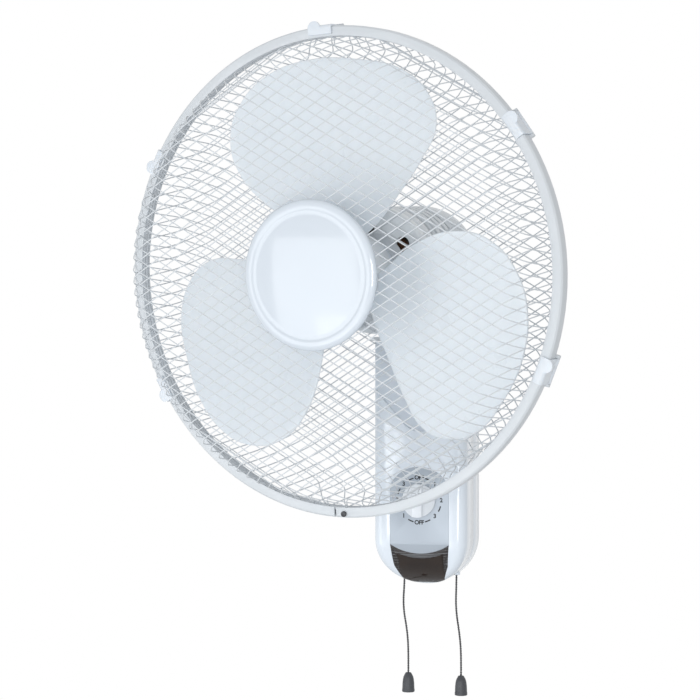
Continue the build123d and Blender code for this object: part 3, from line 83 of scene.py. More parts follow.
def softenEdges(piece, width, steps=2, sharp=32):
    # breaks the sharp edges, so that they catch the light
    applyModifier(piece, "BEVEL", width=width, segments=steps, limit_method="ANGLE",
                  angle_limit=math.radians(sharp), harden_normals=False)


def smooth(piece, angle=35):
    pick(piece)
    bpy.ops.object.shade_smooth_by_angle(angle=math.radians(angle))


def bakePlace(piece, matrix=None):
    # the place goes into the mesh, and the object stays at the origin
    piece.data.transform(piece.matrix_world)
    piece.matrix_world = Matrix.Identity(4)
    if matrix is not None:
        piece.data.transform(matrix)


def settle(piece, name, material, body, stoodFor=()):
    piece.name = name
    piece.data.name = name
    piece.data.materials.clear()
    piece.data.materials.append(material)
    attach(piece, body)
    if stoodFor:
        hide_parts(*stoodFor)
    return piece


def meshPiece(name, points, edges=(), faces=()):
    mesh = bpy.data.meshes.new(name)
    mesh.from_pydata(points, edges, faces)
    piece = bpy.data.objects.new(name, mesh)
    bpy.context.scene.collection.objects.link(piece)
    bpy.context.view_layer.update()
    return piece


def spunPiece(name, outline, steps=96):
    # outline holds (radius, height) in mm and closes on itself; it turns once round z
    count = len(outline)
    piece = meshPiece(name, [(r * mm, 0, h * mm) for r, h in outline],
                      [(i, (i + 1) % count) for i in range(count)])
    pick(piece)
    editMode(True)
    bpy.ops.mesh.select_all(action="SELECT")
    bpy.ops.mesh.spin(steps=steps, angle=2 * math.pi, center=(0, 0, 0), axis=(0, 0, 1))
    bpy.ops.mesh.select_all(action="SELECT")
    bpy.ops.mesh.remove_doubles(threshold=0.00001)
    bpy.ops.mesh.dissolve_degenerate(threshold=0.000005)
    bpy.ops.mesh.normals_make_consistent(inside=False)
    editMode(False)
    return piece


def newCurve(name, radius=0.0):
    # an empty curve in space, round in section where it has a radius
    curve = bpy.data.curves.new(name, "CURVE")
    curve.dimensions = "3D"
    curve.bevel_depth = radius
    curve.bevel_resolution = 1
    curve.use_fill_caps = True
    return curve


def addSmoothSpline(curve, points, resolution):
    spline = curve.splines.new("NURBS")
    spline.points.add(len(points) - 1)
    for place, point in zip(spline.points, points):
        place.co = (*point, 1)
    spline.order_u = 3
    spline.use_endpoint_u = True
    spline.resolution_u = resolution


def meshOfCurve(name, curve):
    piece = bpy.data.objects.new(name, curve)
    bpy.context.scene.collection.objects.link(piece)
    pick(piece)
    bpy.ops.object.convert(target="MESH")
    return bpy.context.object


def pointsAlong(curve):
    # the points of the curve's evaluated line
    holder = bpy.data.objects.new(curve.name, curve)
    bpy.context.scene.collection.objects.link(holder)
    bpy.context.view_layer.update()
    line = bpy.data.meshes.new_from_object(holder.evaluated_get(bpy.context.evaluated_depsgraph_get()))
    points = [vertex.co.copy() for vertex in line.vertices]
    bpy.data.objects.remove(holder)
    return points


def outwardNormals(piece):
    pick(piece)
    editMode(True)
    bpy.ops.mesh.select_all(action="SELECT")
    bpy.ops.mesh.normals_make_consistent(inside=False)
    editMode(False)


def joinPieces(pieces):
    pick(pieces[0])
    for piece in pieces:
        piece.select_set(True)
    bpy.ops.object.join()
    return bpy.context.object


# finishes
def newFinish(name):
    material = bpy.data.materials.new(name)
    material.use_nodes = True
    tree = material.node_tree
    return material, tree, tree.nodes["Principled BSDF"]


def addNode(tree, kind, **facts):
    node = tree.nodes.new(kind)
    for fact, value in facts.items():
        if fact in node.inputs:
            node.inputs[fact].default_value = value
        else:
            setattr(node, fact, value)
    return node


def mathNode(tree, operation, *values):
    # each value is a number or another node's output
    node = addNode(tree, "ShaderNodeMath", operation=operation)
    for socket, value in zip(node.inputs, values):
        if isinstance(value, float):
            socket.default_value = value
        else:
            tree.links.new(value, socket)
    return node.outputs[0]


def objectNoise(tree, scale, detail=2.0, stretch=(1, 1, 1)):
    # noise on the piece's own coordinates, in cells per metre
    place = addNode(tree, "ShaderNodeTexCoord")
    mapping = addNode(tree, "ShaderNodeMapping", Scale=stretch)
    noise = addNode(tree, "ShaderNodeTexNoise", Scale=scale, Detail=detail)
    tree.links.new(place.outputs["Object"], mapping.inputs["Vector"])
    tree.links.new(mapping.outputs["Vector"], noise.inputs["Vector"])
    return noise.outputs["Fac"]


def between(tree, factor, low, high):
    # a number that follows the pattern from low to high
    spread = addNode(tree, "ShaderNodeMapRange")
    spread.inputs["From Min"].default_value = 0.3
    spread.inputs["From Max"].default_value = 0.7
    spread.inputs["To Min"].default_value = low
    spread.inputs["To Max"].default_value = high
    tree.links.new(factor, spread.inputs["Value"])
    return spread.outputs["Result"]


def colourBetween(tree, factor, low, high):
    ramp = addNode(tree, "ShaderNodeValToRGB")
    ramp.color_ramp.elements[0].position = 0.35
    ramp.color_ramp.elements[1].position = 0.65
    ramp.color_ramp.elements[0].color = (*low, 1)
    ramp.color_ramp.elements[1].color = (*high, 1)
    tree.links.new(factor, ramp.inputs["Fac"])
    return ramp.outputs["Color"]


def bumpFrom(tree, shader, factor, depth):
    bump = addNode(tree, "ShaderNodeBump", Distance=depth, Strength=1.0)
    tree.links.new(factor, bump.inputs["Height"])
    tree.links.new(bump.outputs["Normal"], shader.inputs["Normal"])


def plastic(name, look):
    # moulded plastic: a faint cloud in its colour, uneven gloss and the mould's fine skin
    material, tree, shader = newFinish(name)
    cloud = objectNoise(tree, look.get("cloud", 9))
    tree.links.new(colourBetween(tree, cloud, *look["colours"]), shader.inputs["Base Color"])
    tree.links.new(between(tree, objectNoise(tree, 45, 3), *look["roughness"]), shader.inputs["Roughness"])
    bumpFrom(tree, shader, objectNoise(tree, look["skin"], 2), look["depth"])
    shader.inputs["IOR"].default_value = 1.46
    shader.inputs["Coat Weight"].default_value = look.get("coat", 0)
    shader.inputs["Coat Roughness"].default_value = 0.06
    shader.inputs["Metallic"].default_value = look.get("metal", 0)
    if "soft" in look:
        shader.inputs["Subsurface Weight"].default_value = look["soft"]
        shader.inputs["Subsurface Radius"].default_value = (0.004, 0.0045, 0.005)
        shader.inputs["Subsurface Scale"].default_value = 1.0
    return material


def metal(name, look):
    # bare metal: a faint mottle and an uneven polish
    material, tree, shader = newFinish(name)
    mottle = objectNoise(tree, look["mottle"], 4)
    tree.links.new(colourBetween(tree, mottle, *look["colours"]), shader.inputs["Base Color"])
    tree.links.new(between(tree, mottle, *look["roughness"]), shader.inputs["Roughness"])
    bumpFrom(tree, shader, mottle, look["depth"])
    shader.inputs["Metallic"].default_value = look.get("metal", 1.0)
    return material


def banded(name, look):
    # turns or sheets that lie side by side along one axis
    material, tree, shader = newFinish(name)
    place = addNode(tree, "ShaderNodeTexCoord")
    turned = addNode(tree, "ShaderNodeMapping")
    turned.inputs["Rotation"].default_value = look["turn"]
    wave = addNode(tree, "ShaderNodeTexWave", Scale=look["bands"], Distortion=look.get("waver", 0.0))
    wave.inputs["Detail"].default_value = 1.0
    tree.links.new(place.outputs["Object"], turned.inputs["Vector"])
    tree.links.new(turned.outputs["Vector"], wave.inputs["Vector"])
    tree.links.new(colourBetween(tree, wave.outputs["Fac"], *look["colours"]), shader.inputs["Base Color"])
    tree.links.new(between(tree, objectNoise(tree, 120), *look["roughness"]), shader.inputs["Roughness"])
    bumpFrom(tree, shader, wave.outputs["Fac"], look["depth"])
    shader.inputs["Metallic"].default_value = look["metal"]
    return material


shellWhite = plastic("shellWhite", {"colours": ((0.775, 0.835, 0.905), (0.795, 0.853, 0.917)),
                                    "roughness": (0.16, 0.24), "skin": 420, "depth": 0.00002, "coat": 0.35})
housingWhite = plastic("housingWhite", {"colours": ((0.68, 0.72, 0.76), (0.71, 0.75, 0.785)),
                                        "roughness": (0.24, 0.34), "skin": 500, "depth": 0.00003})
# a lighter copy of the housing plastic for the motor's front disc: painted light that lifts the shade the disc
# lies in behind the badge and blades
litMotorWhite = plastic("litMotorWhite", {"colours": ((0.85, 0.88, 0.91), (0.87, 0.90, 0.92)),
                                    "roughness": (0.26, 0.36), "skin": 500, "depth": 0.00003})
panelGrey = plastic("panelGrey", {"colours": ((0.42, 0.47, 0.53), (0.44, 0.49, 0.55)), "cloud": 14,
                                  "roughness": (0.34, 0.42), "skin": 2600, "depth": 0.00001, "metal": 0.15})
dialWhite = plastic("dialWhite", {"colours": ((0.83, 0.87, 0.92), (0.85, 0.885, 0.93)),
                                  "roughness": (0.18, 0.26), "skin": 500, "depth": 0.00002, "coat": 0.3})
ringWhite = plastic("ringWhite", {"colours": ((0.64, 0.675, 0.705), (0.67, 0.70, 0.73)), "cloud": 16,
                                  "roughness": (0.30, 0.42), "skin": 700, "depth": 0.00003})
bladeWhite = plastic("bladeWhite", {"colours": ((0.78, 0.83, 0.88), (0.80, 0.848, 0.893)), "cloud": 7,
                                    "roughness": (0.26, 0.36), "skin": 380, "depth": 0.00002, "soft": 0.25})
# the badge's plastic, made darker than the blades' and shell's: painted shade that offsets the fuller light on the
# exposed badge
shadedBadgeWhite = plastic("shadedBadgeWhite", {"colours": ((0.645, 0.70, 0.765), (0.665, 0.72, 0.78)), "cloud": 8,
                                    "roughness": (0.10, 0.16), "skin": 260, "depth": 0.00001, "coat": 0.5})
clipWhite = plastic("clipWhite", {"colours": ((0.72, 0.77, 0.84), (0.75, 0.80, 0.86)),
                                  "roughness": (0.20, 0.30), "skin": 600, "depth": 0.00002, "soft": 0.3})
bellGrey = plastic("bellGrey", {"colours": ((0.056, 0.059, 0.067), (0.071, 0.075, 0.083)), "cloud": 90,
                                "roughness": (0.42, 0.55), "skin": 1500, "depth": 0.00004})
innerBlack = plastic("innerBlack", {"colours": ((0.008, 0.008, 0.009), (0.016, 0.016, 0.018)),
                                    "roughness": (0.45, 0.6), "skin": 900, "depth": 0.00003})
innerGrey = plastic("innerGrey", {"colours": ((0.15, 0.16, 0.17), (0.19, 0.20, 0.21)),
                                  "roughness": (0.4, 0.55), "skin": 900, "depth": 0.00003})
rubberBlack = plastic("rubberBlack", {"colours": ((0.010, 0.010, 0.010), (0.020, 0.020, 0.020)),
                                      "roughness": (0.7, 0.85), "skin": 1400, "depth": 0.00005})
inkBlack = plastic("inkBlack", {"colours": ((0.010, 0.011, 0.013), (0.018, 0.019, 0.022)), "cloud": 400,
                                "roughness": (0.5, 0.65), "skin": 3000, "depth": 0.000005})
wireWhite = plastic("wireWhite", {"colours": ((0.655, 0.685, 0.715), (0.695, 0.725, 0.755)), "cloud": 60,
                                  "roughness": (0.28, 0.42), "skin": 1800, "depth": 0.00003})
brightSteel = metal("brightSteel", {"colours": ((0.50, 0.51, 0.52), (0.62, 0.63, 0.64)), "mottle": 300,
                                    "roughness": (0.22, 0.38), "depth": 0.00001})
darkScrew = metal("darkScrew", {"colours": ((0.045, 0.047, 0.05), (0.08, 0.082, 0.085)), "mottle": 500,
                                "roughness": (0.35, 0.5), "depth": 0.00002})
zincSheet = metal("zincSheet", {"colours": ((0.46, 0.48, 0.50), (0.60, 0.62, 0.64)), "mottle": 60,
                                "roughness": (0.35, 0.55), "depth": 0.00001, "metal": 0.9})
bronzeBearing = metal("bronzeBearing", {"colours": ((0.42, 0.27, 0.13), (0.52, 0.35, 0.18)), "mottle": 700,
                                        "roughness": (0.4, 0.55), "depth": 0.00003})
# the motor's windings, darkened almost to black: painted shade of the motor's inside seen through its vents
shadedCopperTurns = banded("shadedCopperTurns", {"colours": ((0.045, 0.022, 0.014), (0.10, 0.05, 0.03)), "bands": 260,
                                     "turn": (0.3, 0.2, 0.1), "roughness": (0.25, 0.4), "depth": 0.0002,
                                     "metal": 0.9, "waver": 1.5})
stackedSheets = banded("stackedSheets", {"colours": ((0.11, 0.11, 0.115), (0.24, 0.24, 0.245)), "bands": 320,
                                         "turn": (0, 0, math.radians(74.6)), "roughness": (0.4, 0.55),
                                         "depth": 0.0001, "metal": 0.9})


# the middle's higher alpha makes the window's middle nearly opaque and dark: painted shade for the hollow behind
# it
smokedWindow = {"colours": ((0.022, 0.014, 0.011), (0.030, 0.019, 0.014)), "roughness": (0.05, 0.09),
                "arcCentre": -75.1, "arcRadius": 54.6, "halfWidth": 21.0, "sillDepth": 59.5, "edge": 0.5,
                "borderAlpha": 0.56, "middleShadeAlpha": 0.93}


def pastLimit(tree, value, limit):
    # 0 up to the limit, given in mm, and 1 past a short soft edge
    spread = addNode(tree, "ShaderNodeMapRange")
    spread.inputs["From Min"].default_value = limit * mm
    spread.inputs["From Max"].default_value = (limit + smokedWindow["edge"]) * mm
    tree.links.new(value, spread.inputs["Value"])
    return spread.outputs["Result"]


def windowMiddle(tree):
    # 1 on the window's middle, where the sheet carries the painted shade, 0 on its border: under the arc, between
    # the sides and ahead of the sill
    place = addNode(tree, "ShaderNodeTexCoord")
    parts = addNode(tree, "ShaderNodeSeparateXYZ")
    tree.links.new(place.outputs["Object"], parts.inputs[0])
    height = mathNode(tree, "ADD", parts.outputs["Z"], -smokedWindow["arcCentre"] * mm)
    flat = addNode(tree, "ShaderNodeCombineXYZ")
    tree.links.new(parts.outputs["X"], flat.inputs["X"])
    tree.links.new(height, flat.inputs["Y"])
    radius = addNode(tree, "ShaderNodeVectorMath", operation="LENGTH")
    tree.links.new(flat.outputs[0], radius.inputs[0])
    inward = mathNode(tree, "MULTIPLY", mathNode(tree, "ABSOLUTE", parts.outputs["X"]), -1.0)
    forward = mathNode(tree, "MULTIPLY", parts.outputs["Y"], -1.0)
    underArc = pastLimit(tree, radius.outputs["Value"], smokedWindow["arcRadius"])
    fromSides = pastLimit(tree, inward, -smokedWindow["halfWidth"])
    fromSill = pastLimit(tree, forward, smokedWindow["sillDepth"])
    return mathNode(tree, "MULTIPLY", mathNode(tree, "MULTIPLY", underArc, fromSides), fromSill)


def smokedAcrylic(look):
    # smoked sheet: the pale seat under its border shows through; its middle is made nearly opaque and dark, a
    # painted shade standing in for the dark hollow behind it
    material, tree, shader = newFinish("smokedAcrylic")
    tree.links.new(colourBetween(tree, objectNoise(tree, 60), *look["colours"]), shader.inputs["Base Color"])
    tree.links.new(between(tree, objectNoise(tree, 180, 3), *look["roughness"]), shader.inputs["Roughness"])
    bumpFrom(tree, shader, objectNoise(tree, 300), 0.00001)
    cover = addNode(tree, "ShaderNodeMapRange")
    cover.inputs["To Min"].default_value = look["borderAlpha"]
    cover.inputs["To Max"].default_value = look["middleShadeAlpha"]
    tree.links.new(windowMiddle(tree), cover.inputs["Value"])
    tree.links.new(cover.outputs["Result"], shader.inputs["Alpha"])
    shader.inputs["IOR"].default_value = 1.49
    return material


smokedGlass = smokedAcrylic(smokedWindow)


def cordFibre(look):
    # dark grey yarn: fine fibres along the strands
    material, tree, shader = newFinish("cordFibre")
    fibre = objectNoise(tree, look["fibres"], 3, look["stretch"])
    tree.links.new(colourBetween(tree, fibre, *look["colours"]), shader.inputs["Base Color"])
    tree.links.new(between(tree, fibre, *look["roughness"]), shader.inputs["Roughness"])
    bumpFrom(tree, shader, fibre, look["depth"])
    shader.inputs["Sheen Weight"].default_value = look["sheen"]
    return material


cordGrey = cordFibre({"colours": ((0.045, 0.045, 0.048), (0.10, 0.10, 0.105)), "fibres": 1500,
                      "stretch": (1, 1, 0.25), "roughness": (0.75, 0.9), "depth": 0.0001, "sheen": 0.3})
print("finishes made,", len(bpy.data.materials))

finishOfSlot = {
    "shell_white": shellWhite, "panel_grey": panelGrey, "smoked_glass": smokedGlass, "dial_white": dialWhite,
    "ring_white": ringWhite, "guard_wire": wireWhite, "blade_white": bladeWhite, "badge_white": shadedBadgeWhite,
    "clip_white": clipWhite, "housing_white": housingWhite, "cord_grey": cordGrey, "bell_grey": bellGrey,
    "steel": brightSteel, "screw_dark": darkScrew, "bracket_zinc": zincSheet, "copper": shadedCopperTurns,
    "lamination": stackedSheets, "bronze": bronzeBearing, "inner_black": innerBlack, "inner_grey": innerGrey,
    "rubber_black": rubberBlack,
}
# the motor's front disc takes the lighter copy of the housing plastic, painted light
finishOfNode = {"motor_front": litMotorWhite}
slotOfNode = {part["node"]: part["material_slot"] for part in frame["record"]["subparts"]}
bodies = frame["record"]["behaviour"]["bodies"]
bodyOfNode = {node: body for body, members in bodies.items() for node in members}

# every CAD node gets its finish
for nodeName, node in cadNodes.items():
    node.data.materials.clear()
    node.data.materials.append(finishOfSlot[slotOfNode[nodeName]])

# pieces whose CAD shape is right: a copy of each, merged, with its edges broken
brokenEdge = {"front_shell": 0.5, "rear_shell": 0.5, "control_panel": 0.25, "smoked_window": 0.25,
              "wall_bracket": 0.35, "bracket_screw": 0.3, "shell_screws": 0.3, "cable_inlet": 0.4,
              "cord_eyelets": 0.4, "speed_knob": 0.7, "neck": 0.8, "tilt_nut": 0.5, "tilt_bolt": 0.4,
              "tilt_yoke": 0.6, "motor_front": 0.5, "motor_cover": 0.5, "cover_screw": 0.4, "guard_nut": 0.6,
              "guard_ring": 0.7, "ring_screw": 0.35, "ring_nut": 0.25, "badge_back": 0.3,
              "badge_screws": 0.25, "spinner_nut": 0.8}
brokenEdge.update({"guard_clip_" + str(number): 0.35 for number in range(1, 6)})


def dressNode(nodeName, edge):
    mesh = cadNodes[nodeName].data.copy()
    piece = bpy.data.objects.new(nodeName + "_finished", mesh)
    bpy.context.scene.collection.objects.link(piece)
    pick(piece)
    bpy.ops.mesh.customdata_custom_splitnormals_clear()
    editMode(True)
    bpy.ops.mesh.select_all(action="SELECT")
    bpy.ops.mesh.remove_doubles(threshold=0.000002)
    bpy.ops.mesh.dissolve_limited(angle_limit=math.radians(0.6))
    editMode(False)
    softenEdges(piece, edge * mm)
    smooth(piece)
    slot = slotOfNode[nodeName]
    finish = finishOfNode.get(nodeName, finishOfSlot[slot])
    settle(piece, nodeName + "_finished", finish, bodyOfNode[nodeName], (nodeName,))


for nodeName, edge in brokenEdge.items():
    dressNode(nodeName, edge)
print("edges broken on", len(brokenEdge), "pieces")

# wire guards
guardWire = {"thick": 1.05, "pitch": 9.4, "lean": 30.0, "layerGap": 1.25, "round": 15.0, "lip": 204.9,
             "lipRise": 1.6, "endRise": 0.7, "endInside": 1.0, "shortestEnd": 3.0,
             "hoopRadius": 208.2, "hoopThick": 4.0, "hoopOffset": 2.1, "hoopPoints": 24}
# bend: the outer corner's radius and height; flat: where the flat middle starts; face: its height
frontShape = {"bend": (196.6, 33.5), "flat": 184.0, "face": 49.0, "hole": 0.0}
rearShape = {"bend": (196.0, -37.0), "flat": 176.0, "face": -59.5, "hole": 30.0}


def wireRuns(offset, lean, path, hole):
    # one bent wire, or its two halves where it stops at the round hole, in head coordinates
    turned = Matrix.Rotation(math.radians(lean), 4, "Z")
    nearest = abs(offset) + guardWire["shortestEnd"]
    half = [(math.sqrt(r * r - offset * offset), h) for r, h in path if r > nearest]
    if len(half) < 2:
        return []
    if hole > abs(offset):
        stop = math.sqrt(hole * hole - offset * offset)
        runs = [half + [(stop, half[-1][1])], [(-t, h) for t, h in half] + [(-stop, half[-1][1])]]
    else:
        runs = [half + [(-t, h) for t, h in reversed(half)]]
    return [[turned @ Vector((t * mm, offset * mm, h * mm)) for t, h in run] for run in runs]


def addWire(curve, corners, bendRadius):
    # straight runs with a soft bend at each corner, which takes less than half of each run
    mostOfRun = 0.45
    points = [corners[0]]
    for before, corner, after in zip(corners, corners[1:], corners[2:]):
        reachBack = min(bendRadius, (corner - before).length * mostOfRun)
        reachOn = min(bendRadius, (after - corner).length * mostOfRun)
        points += [corner + (before - corner).normalized() * reachBack, corner,
                   corner + (after - corner).normalized() * reachOn]
    addSmoothSpline(curve, points + [corners[-1]], 2)


def addHoop(curve, height):
    # the hoop that the wires' ends meet: its line runs midway between its points' circle and their chords
    hoop = curve.splines.new("NURBS")
    hoop.points.add(guardWire["hoopPoints"] - 1)
    halfStep = math.pi / guardWire["hoopPoints"]
    reach = 2 * guardWire["hoopRadius"] / (1 + math.cos(halfStep)) * mm
    for index, place in enumerate(hoop.points):
        angle = 2 * halfStep * index
        place.co = (reach * math.cos(angle), reach * math.sin(angle), height * mm, 1)
        place.radius = guardWire["hoopThick"] / guardWire["thick"]
    hoop.order_u = 3
    hoop.use_cyclic_u = True
    hoop.resolution_u = 6


def meshGuard(name, shape):
    side = 1 if shape["face"] > 0 else -1
    curve = newCurve(name, guardWire["thick"] * mm / 2)
    hoopOffset, lean = guardWire["hoopOffset"], guardWire["lean"]
    for layerLean, inward in ((lean, 0.0), (-lean, guardWire["layerGap"])):
        path = [(guardWire["hoopRadius"] - guardWire["endInside"],
                 side * (hoopOffset + guardWire["endRise"] - inward)),
                (guardWire["lip"] - inward, side * (hoopOffset + guardWire["lipRise"] - inward)),
                (shape["bend"][0] - inward, shape["bend"][1] - side * inward),
                (shape["flat"] - inward, shape["face"] - side * inward)]
        count = math.floor(path[0][0] / guardWire["pitch"])
        for step in range(-count, count + 1):
            for run in wireRuns(step * guardWire["pitch"], layerLean, path, shape["hole"]):
                addWire(curve, run, guardWire["round"] * mm)
    addHoop(curve, side * hoopOffset)
    return meshOfCurve(name, curve)


plateFacts = {"radius": 34.0, "bore": 17.1, "front": -60.2, "thick": 1.6, "bead": 27.0, "beadHalf": 2.0,
              "beadDepth": 0.5}


def rearPlate():
    # pressed plate in the middle of the rear guard, clamped by the round nut
    bore, radius, bead = plateFacts["bore"], plateFacts["radius"], plateFacts["bead"]
    front, half = plateFacts["front"], plateFacts["beadHalf"]
    back = front - plateFacts["thick"]
    outline = [(bore, front), (bead - half, front), (bead, front - plateFacts["beadDepth"]),
               (bead + half, front), (radius, front), (radius, back), (bore, back)]
    piece = spunPiece("rearPlate", outline, 72)
    softenEdges(piece, 0.3 * mm)
    return piece


frontMesh = meshGuard("front_mesh", frontShape)
bakePlace(frontMesh, headMatrix)
smooth(frontMesh, 60)
settle(frontMesh, "front_mesh", wireWhite, "head", ("front_guard",))
rearMesh = joinPieces([meshGuard("rear_mesh", rearShape), rearPlate()])
bakePlace(rearMesh, headMatrix)
smooth(rearMesh, 60)
settle(rearMesh, "rear_mesh", wireWhite, "head", ("rear_guard",))
print("guards,", len(frontMesh.data.polygons) + len(rearMesh.data.polygons), "faces")

# propeller
# sections: distance out, height and slope; outline: across and out, against the clock from the root
bladeFacts = {"count": 3, "angle": 86.3, "thick": 2.4, "camber": 0.00037, "rings": 12, "edge": 0.9,
              "sections": ((24.0, -13.0, 0.33), (60.0, -12.0, 0.26), (110.0, -10.5, 0.21),
                           (196.0, -7.5, 0.23)),
              "outline": ((0, 25), (30, 36), (60, 50), (97, 85), (106, 118), (95, 150), (72, 172),
                          (36, 185.5), (-10, 186.5), (-48, 178), (-72, 157), (-79, 130), (-66, 101),
                          (-45, 70), (-24, 42))}
hubFacts = {"radius": 34.0, "length": 34.0, "wall": 2.5, "front": 6.0, "boss": 11.0, "bore": 4.05,
            "round": 5.0, "ribs": 6, "ribThick": 1.8, "ribFrom": 4.5, "ribTo": 29.5, "ribSunk": 0.5}


def throughSections(out, column):
    # smooth value between the blade's sections, by Lagrange's formula
    total = 0.0
    for section in bladeFacts["sections"]:
        weight = 1.0
        for other in bladeFacts["sections"]:
            if other is not section:
                weight *= (out - other[0]) / (section[0] - other[0])
        total += weight * section[column]
    return total


def bladeHeight(u, v):
    return throughSections(v, 1) + throughSections(v, 2) * u + bladeFacts["camber"] * u * u


def outlinePoints(corners):
    # the smooth closed line through the outline's points
    curve = bpy.data.curves.new("bladeOutline", "CURVE")
    spline = curve.splines.new("BEZIER")
    spline.bezier_points.add(len(corners) - 1)
    for place, (u, v) in zip(spline.bezier_points, corners):
        place.co = (u, v, 0)
        place.handle_left_type = place.handle_right_type = "AUTO"
    spline.use_cyclic_u = True
    spline.resolution_u = 8
    return [point.to_2d() for point in pointsAlong(curve)]


def oneBlade(turn):
    rim = outlinePoints(bladeFacts["outline"])
    middle = sum(rim, Vector((0, 0))) / len(rim)
    rings = bladeFacts["rings"]
    points, faces = [], []
    for ring in range(rings):
        share = 1 - ring / rings
        for corner in rim:
            flat = middle.lerp(corner, share)
            points.append((flat.x * mm, flat.y * mm, bladeHeight(*flat) * mm))
    points.append((middle.x * mm, middle.y * mm, bladeHeight(*middle) * mm))
    count = len(rim)
    for ring in range(rings - 1):
        for i in range(count):
            j = (i + 1) % count
            faces.append((ring * count + i, ring * count + j, (ring + 1) * count + j, (ring + 1) * count + i))
    for i in range(count):
        faces.append(((rings - 1) * count + i, (rings - 1) * count + (i + 1) % count, len(points) - 1))
    piece = meshPiece("blade", points, (), faces)
    # u runs against the clock seen from the front, v outwards
    piece.data.transform(Matrix.Scale(-1, 4, (1, 0, 0)))
    piece.data.transform(Matrix.Rotation(math.radians(turn - 90), 4, "Z"))
    outwardNormals(piece)
    if piece.data.polygons[0].normal.z < 0:
        piece.data.flip_normals()
    applyModifier(piece, "SOLIDIFY", thickness=bladeFacts["thick"] * mm, offset=-1)
    softenEdges(piece, bladeFacts["edge"] * mm, steps=3, sharp=60)
    return piece


def hubRib(turn):
    # a flat web between the boss and the hub's wall, sunk a little into both
    near = hubFacts["boss"] - hubFacts["ribSunk"]
    far = hubFacts["radius"] - hubFacts["wall"] + hubFacts["ribSunk"]
    top, low = -hubFacts["ribFrom"], -hubFacts["ribTo"]
    bpy.ops.mesh.primitive_cube_add(size=1, location=((near + far) / 2 * mm, 0, (top + low) / 2 * mm),
                                    scale=((far - near) * mm, hubFacts["ribThick"] * mm, (top - low) * mm))
    rib = bpy.context.object
    bakePlace(rib, Matrix.Rotation(turn, 4, "Z"))
    softenEdges(rib, 0.3 * mm)
    return rib


def hubPiece():
    r, length, boss, bore = hubFacts["radius"], hubFacts["length"], hubFacts["boss"], hubFacts["bore"]
    bend, front, inside = hubFacts["round"], hubFacts["front"], hubFacts["radius"] - hubFacts["wall"]
    shoulder = [(r - bend + bend * math.sin(a), -bend + bend * math.cos(a))
                for a in (math.radians(15 * i) for i in range(7))]
    outline = [(bore, 0)] + shoulder
    outline += [(r, -length), (inside, -length), (inside, -front), (boss, -front), (boss, -length),
                (bore, -length)]
    piece = spunPiece("hub", outline, 72)
    softenEdges(piece, 0.4 * mm, sharp=50)
    ribs = [hubRib(2 * math.pi * (number + 0.5) / hubFacts["ribs"]) for number in range(hubFacts["ribs"])]
    return joinPieces([piece] + ribs)


blades = [oneBlade(bladeFacts["angle"] + 120 * number) for number in range(bladeFacts["count"])]
propeller = joinPieces([hubPiece()] + blades)
bakePlace(propeller, headMatrix)
smooth(propeller, 40)
settle(propeller, "propeller_moulding", bladeWhite, "rotor", ("propeller",))
print("propeller,", len(propeller.data.polygons), "faces")

# badge disc, bare
badgeFacts = {"radius": 65.0, "foot": 49.8, "rim": 53.8, "sheet": 2.0, "lip": 10.0, "dome": 5.0, "steps": 14,
              "bosses": 3, "bossCircle": 23.09, "bossRadius": 3.0, "bossLength": 4.6, "bossMiddle": 2.4}


def badgeBoss(angle):
    circle, height = badgeFacts["bossCircle"], badgeFacts["foot"] + badgeFacts["bossMiddle"]
    place = Vector((circle * math.cos(angle), circle * math.sin(angle), height)) * mm
    bpy.ops.mesh.primitive_cylinder_add(vertices=24, radius=badgeFacts["bossRadius"] * mm,
                                        depth=badgeFacts["bossLength"] * mm, location=place)
    boss = bpy.context.object
    bakePlace(boss)
    softenEdges(boss, 0.2 * mm)
    return boss


def badgeDisc():
    edge = badgeFacts["radius"] - badgeFacts["lip"]
    ball = (edge ** 2 + badgeFacts["dome"] ** 2) / (2 * badgeFacts["dome"])
    rim, floor = badgeFacts["rim"], badgeFacts["rim"] - badgeFacts["sheet"]
    foot, radius = badgeFacts["foot"], badgeFacts["radius"]

    def dome(r):
        return math.sqrt(ball ** 2 - r ** 2) - ball + badgeFacts["dome"]

    spread = [edge * i / badgeFacts["steps"] for i in range(badgeFacts["steps"] + 1)]
    outline = [(r, rim + dome(r)) for r in spread]
    outline += [(edge + 0.8, rim + 0.25), (edge + 1.8, rim + 0.75), (edge + 3.5, rim + 0.9),
                (radius - 4, rim + 0.6), (radius - 2, rim - 0.1), (radius - 0.7, rim - 1.1),
                (radius, rim - 2.4), (radius, foot), (radius - badgeFacts["sheet"], foot),
                (radius - badgeFacts["sheet"], floor)]
    outline += [(r, floor + dome(r)) for r in reversed(spread)]
    disc = spunPiece("badgeDisc", outline, 128)
    softenEdges(disc, 0.3 * mm, sharp=50)
    bosses = [badgeBoss(math.radians(90 + 360 / badgeFacts["bosses"] * number))
              for number in range(badgeFacts["bosses"])]
    return joinPieces([disc] + bosses)


badge = badgeDisc()
bakePlace(badge, headMatrix)
smooth(badge, 40)
settle(badge, "badge_disc", shadedBadgeWhite, "head", ("badge",))
print("badge,", len(badge.data.polygons), "faces")

# pull cords and bells
cordFacts = {"diameter": 2.0, "strands": 2, "strandShare": 0.27, "squash": 0.92, "lay": 4.5, "step": 0.4,
             "bellRadius": 6.0, "bellLength": 18.5}
cordRoutes = {
    "speed": ((-25.2, -33.0, -129.3), (-25.2, -33.0, -155.0), (-27.0, -33.3, -180.0),
              (-22.6, -32.7, -205.0), (-21.5, -33.2, -225.0), (-21.7, -33.0, -243.5)),
    "swing": ((25.2, -33.0, -129.3), (25.2, -33.0, -155.0), (24.2, -32.8, -181.0),
              (28.4, -33.2, -207.0), (29.7, -33.0, -226.0), (29.5, -33.1, -244.8)),
}


def routeLine(route):
    # points along the route's smooth spline, in metres
    curve = newCurve("route")
    addSmoothSpline(curve, [Vector(point) * mm for point in route], 24)
    return pointsAlong(curve)


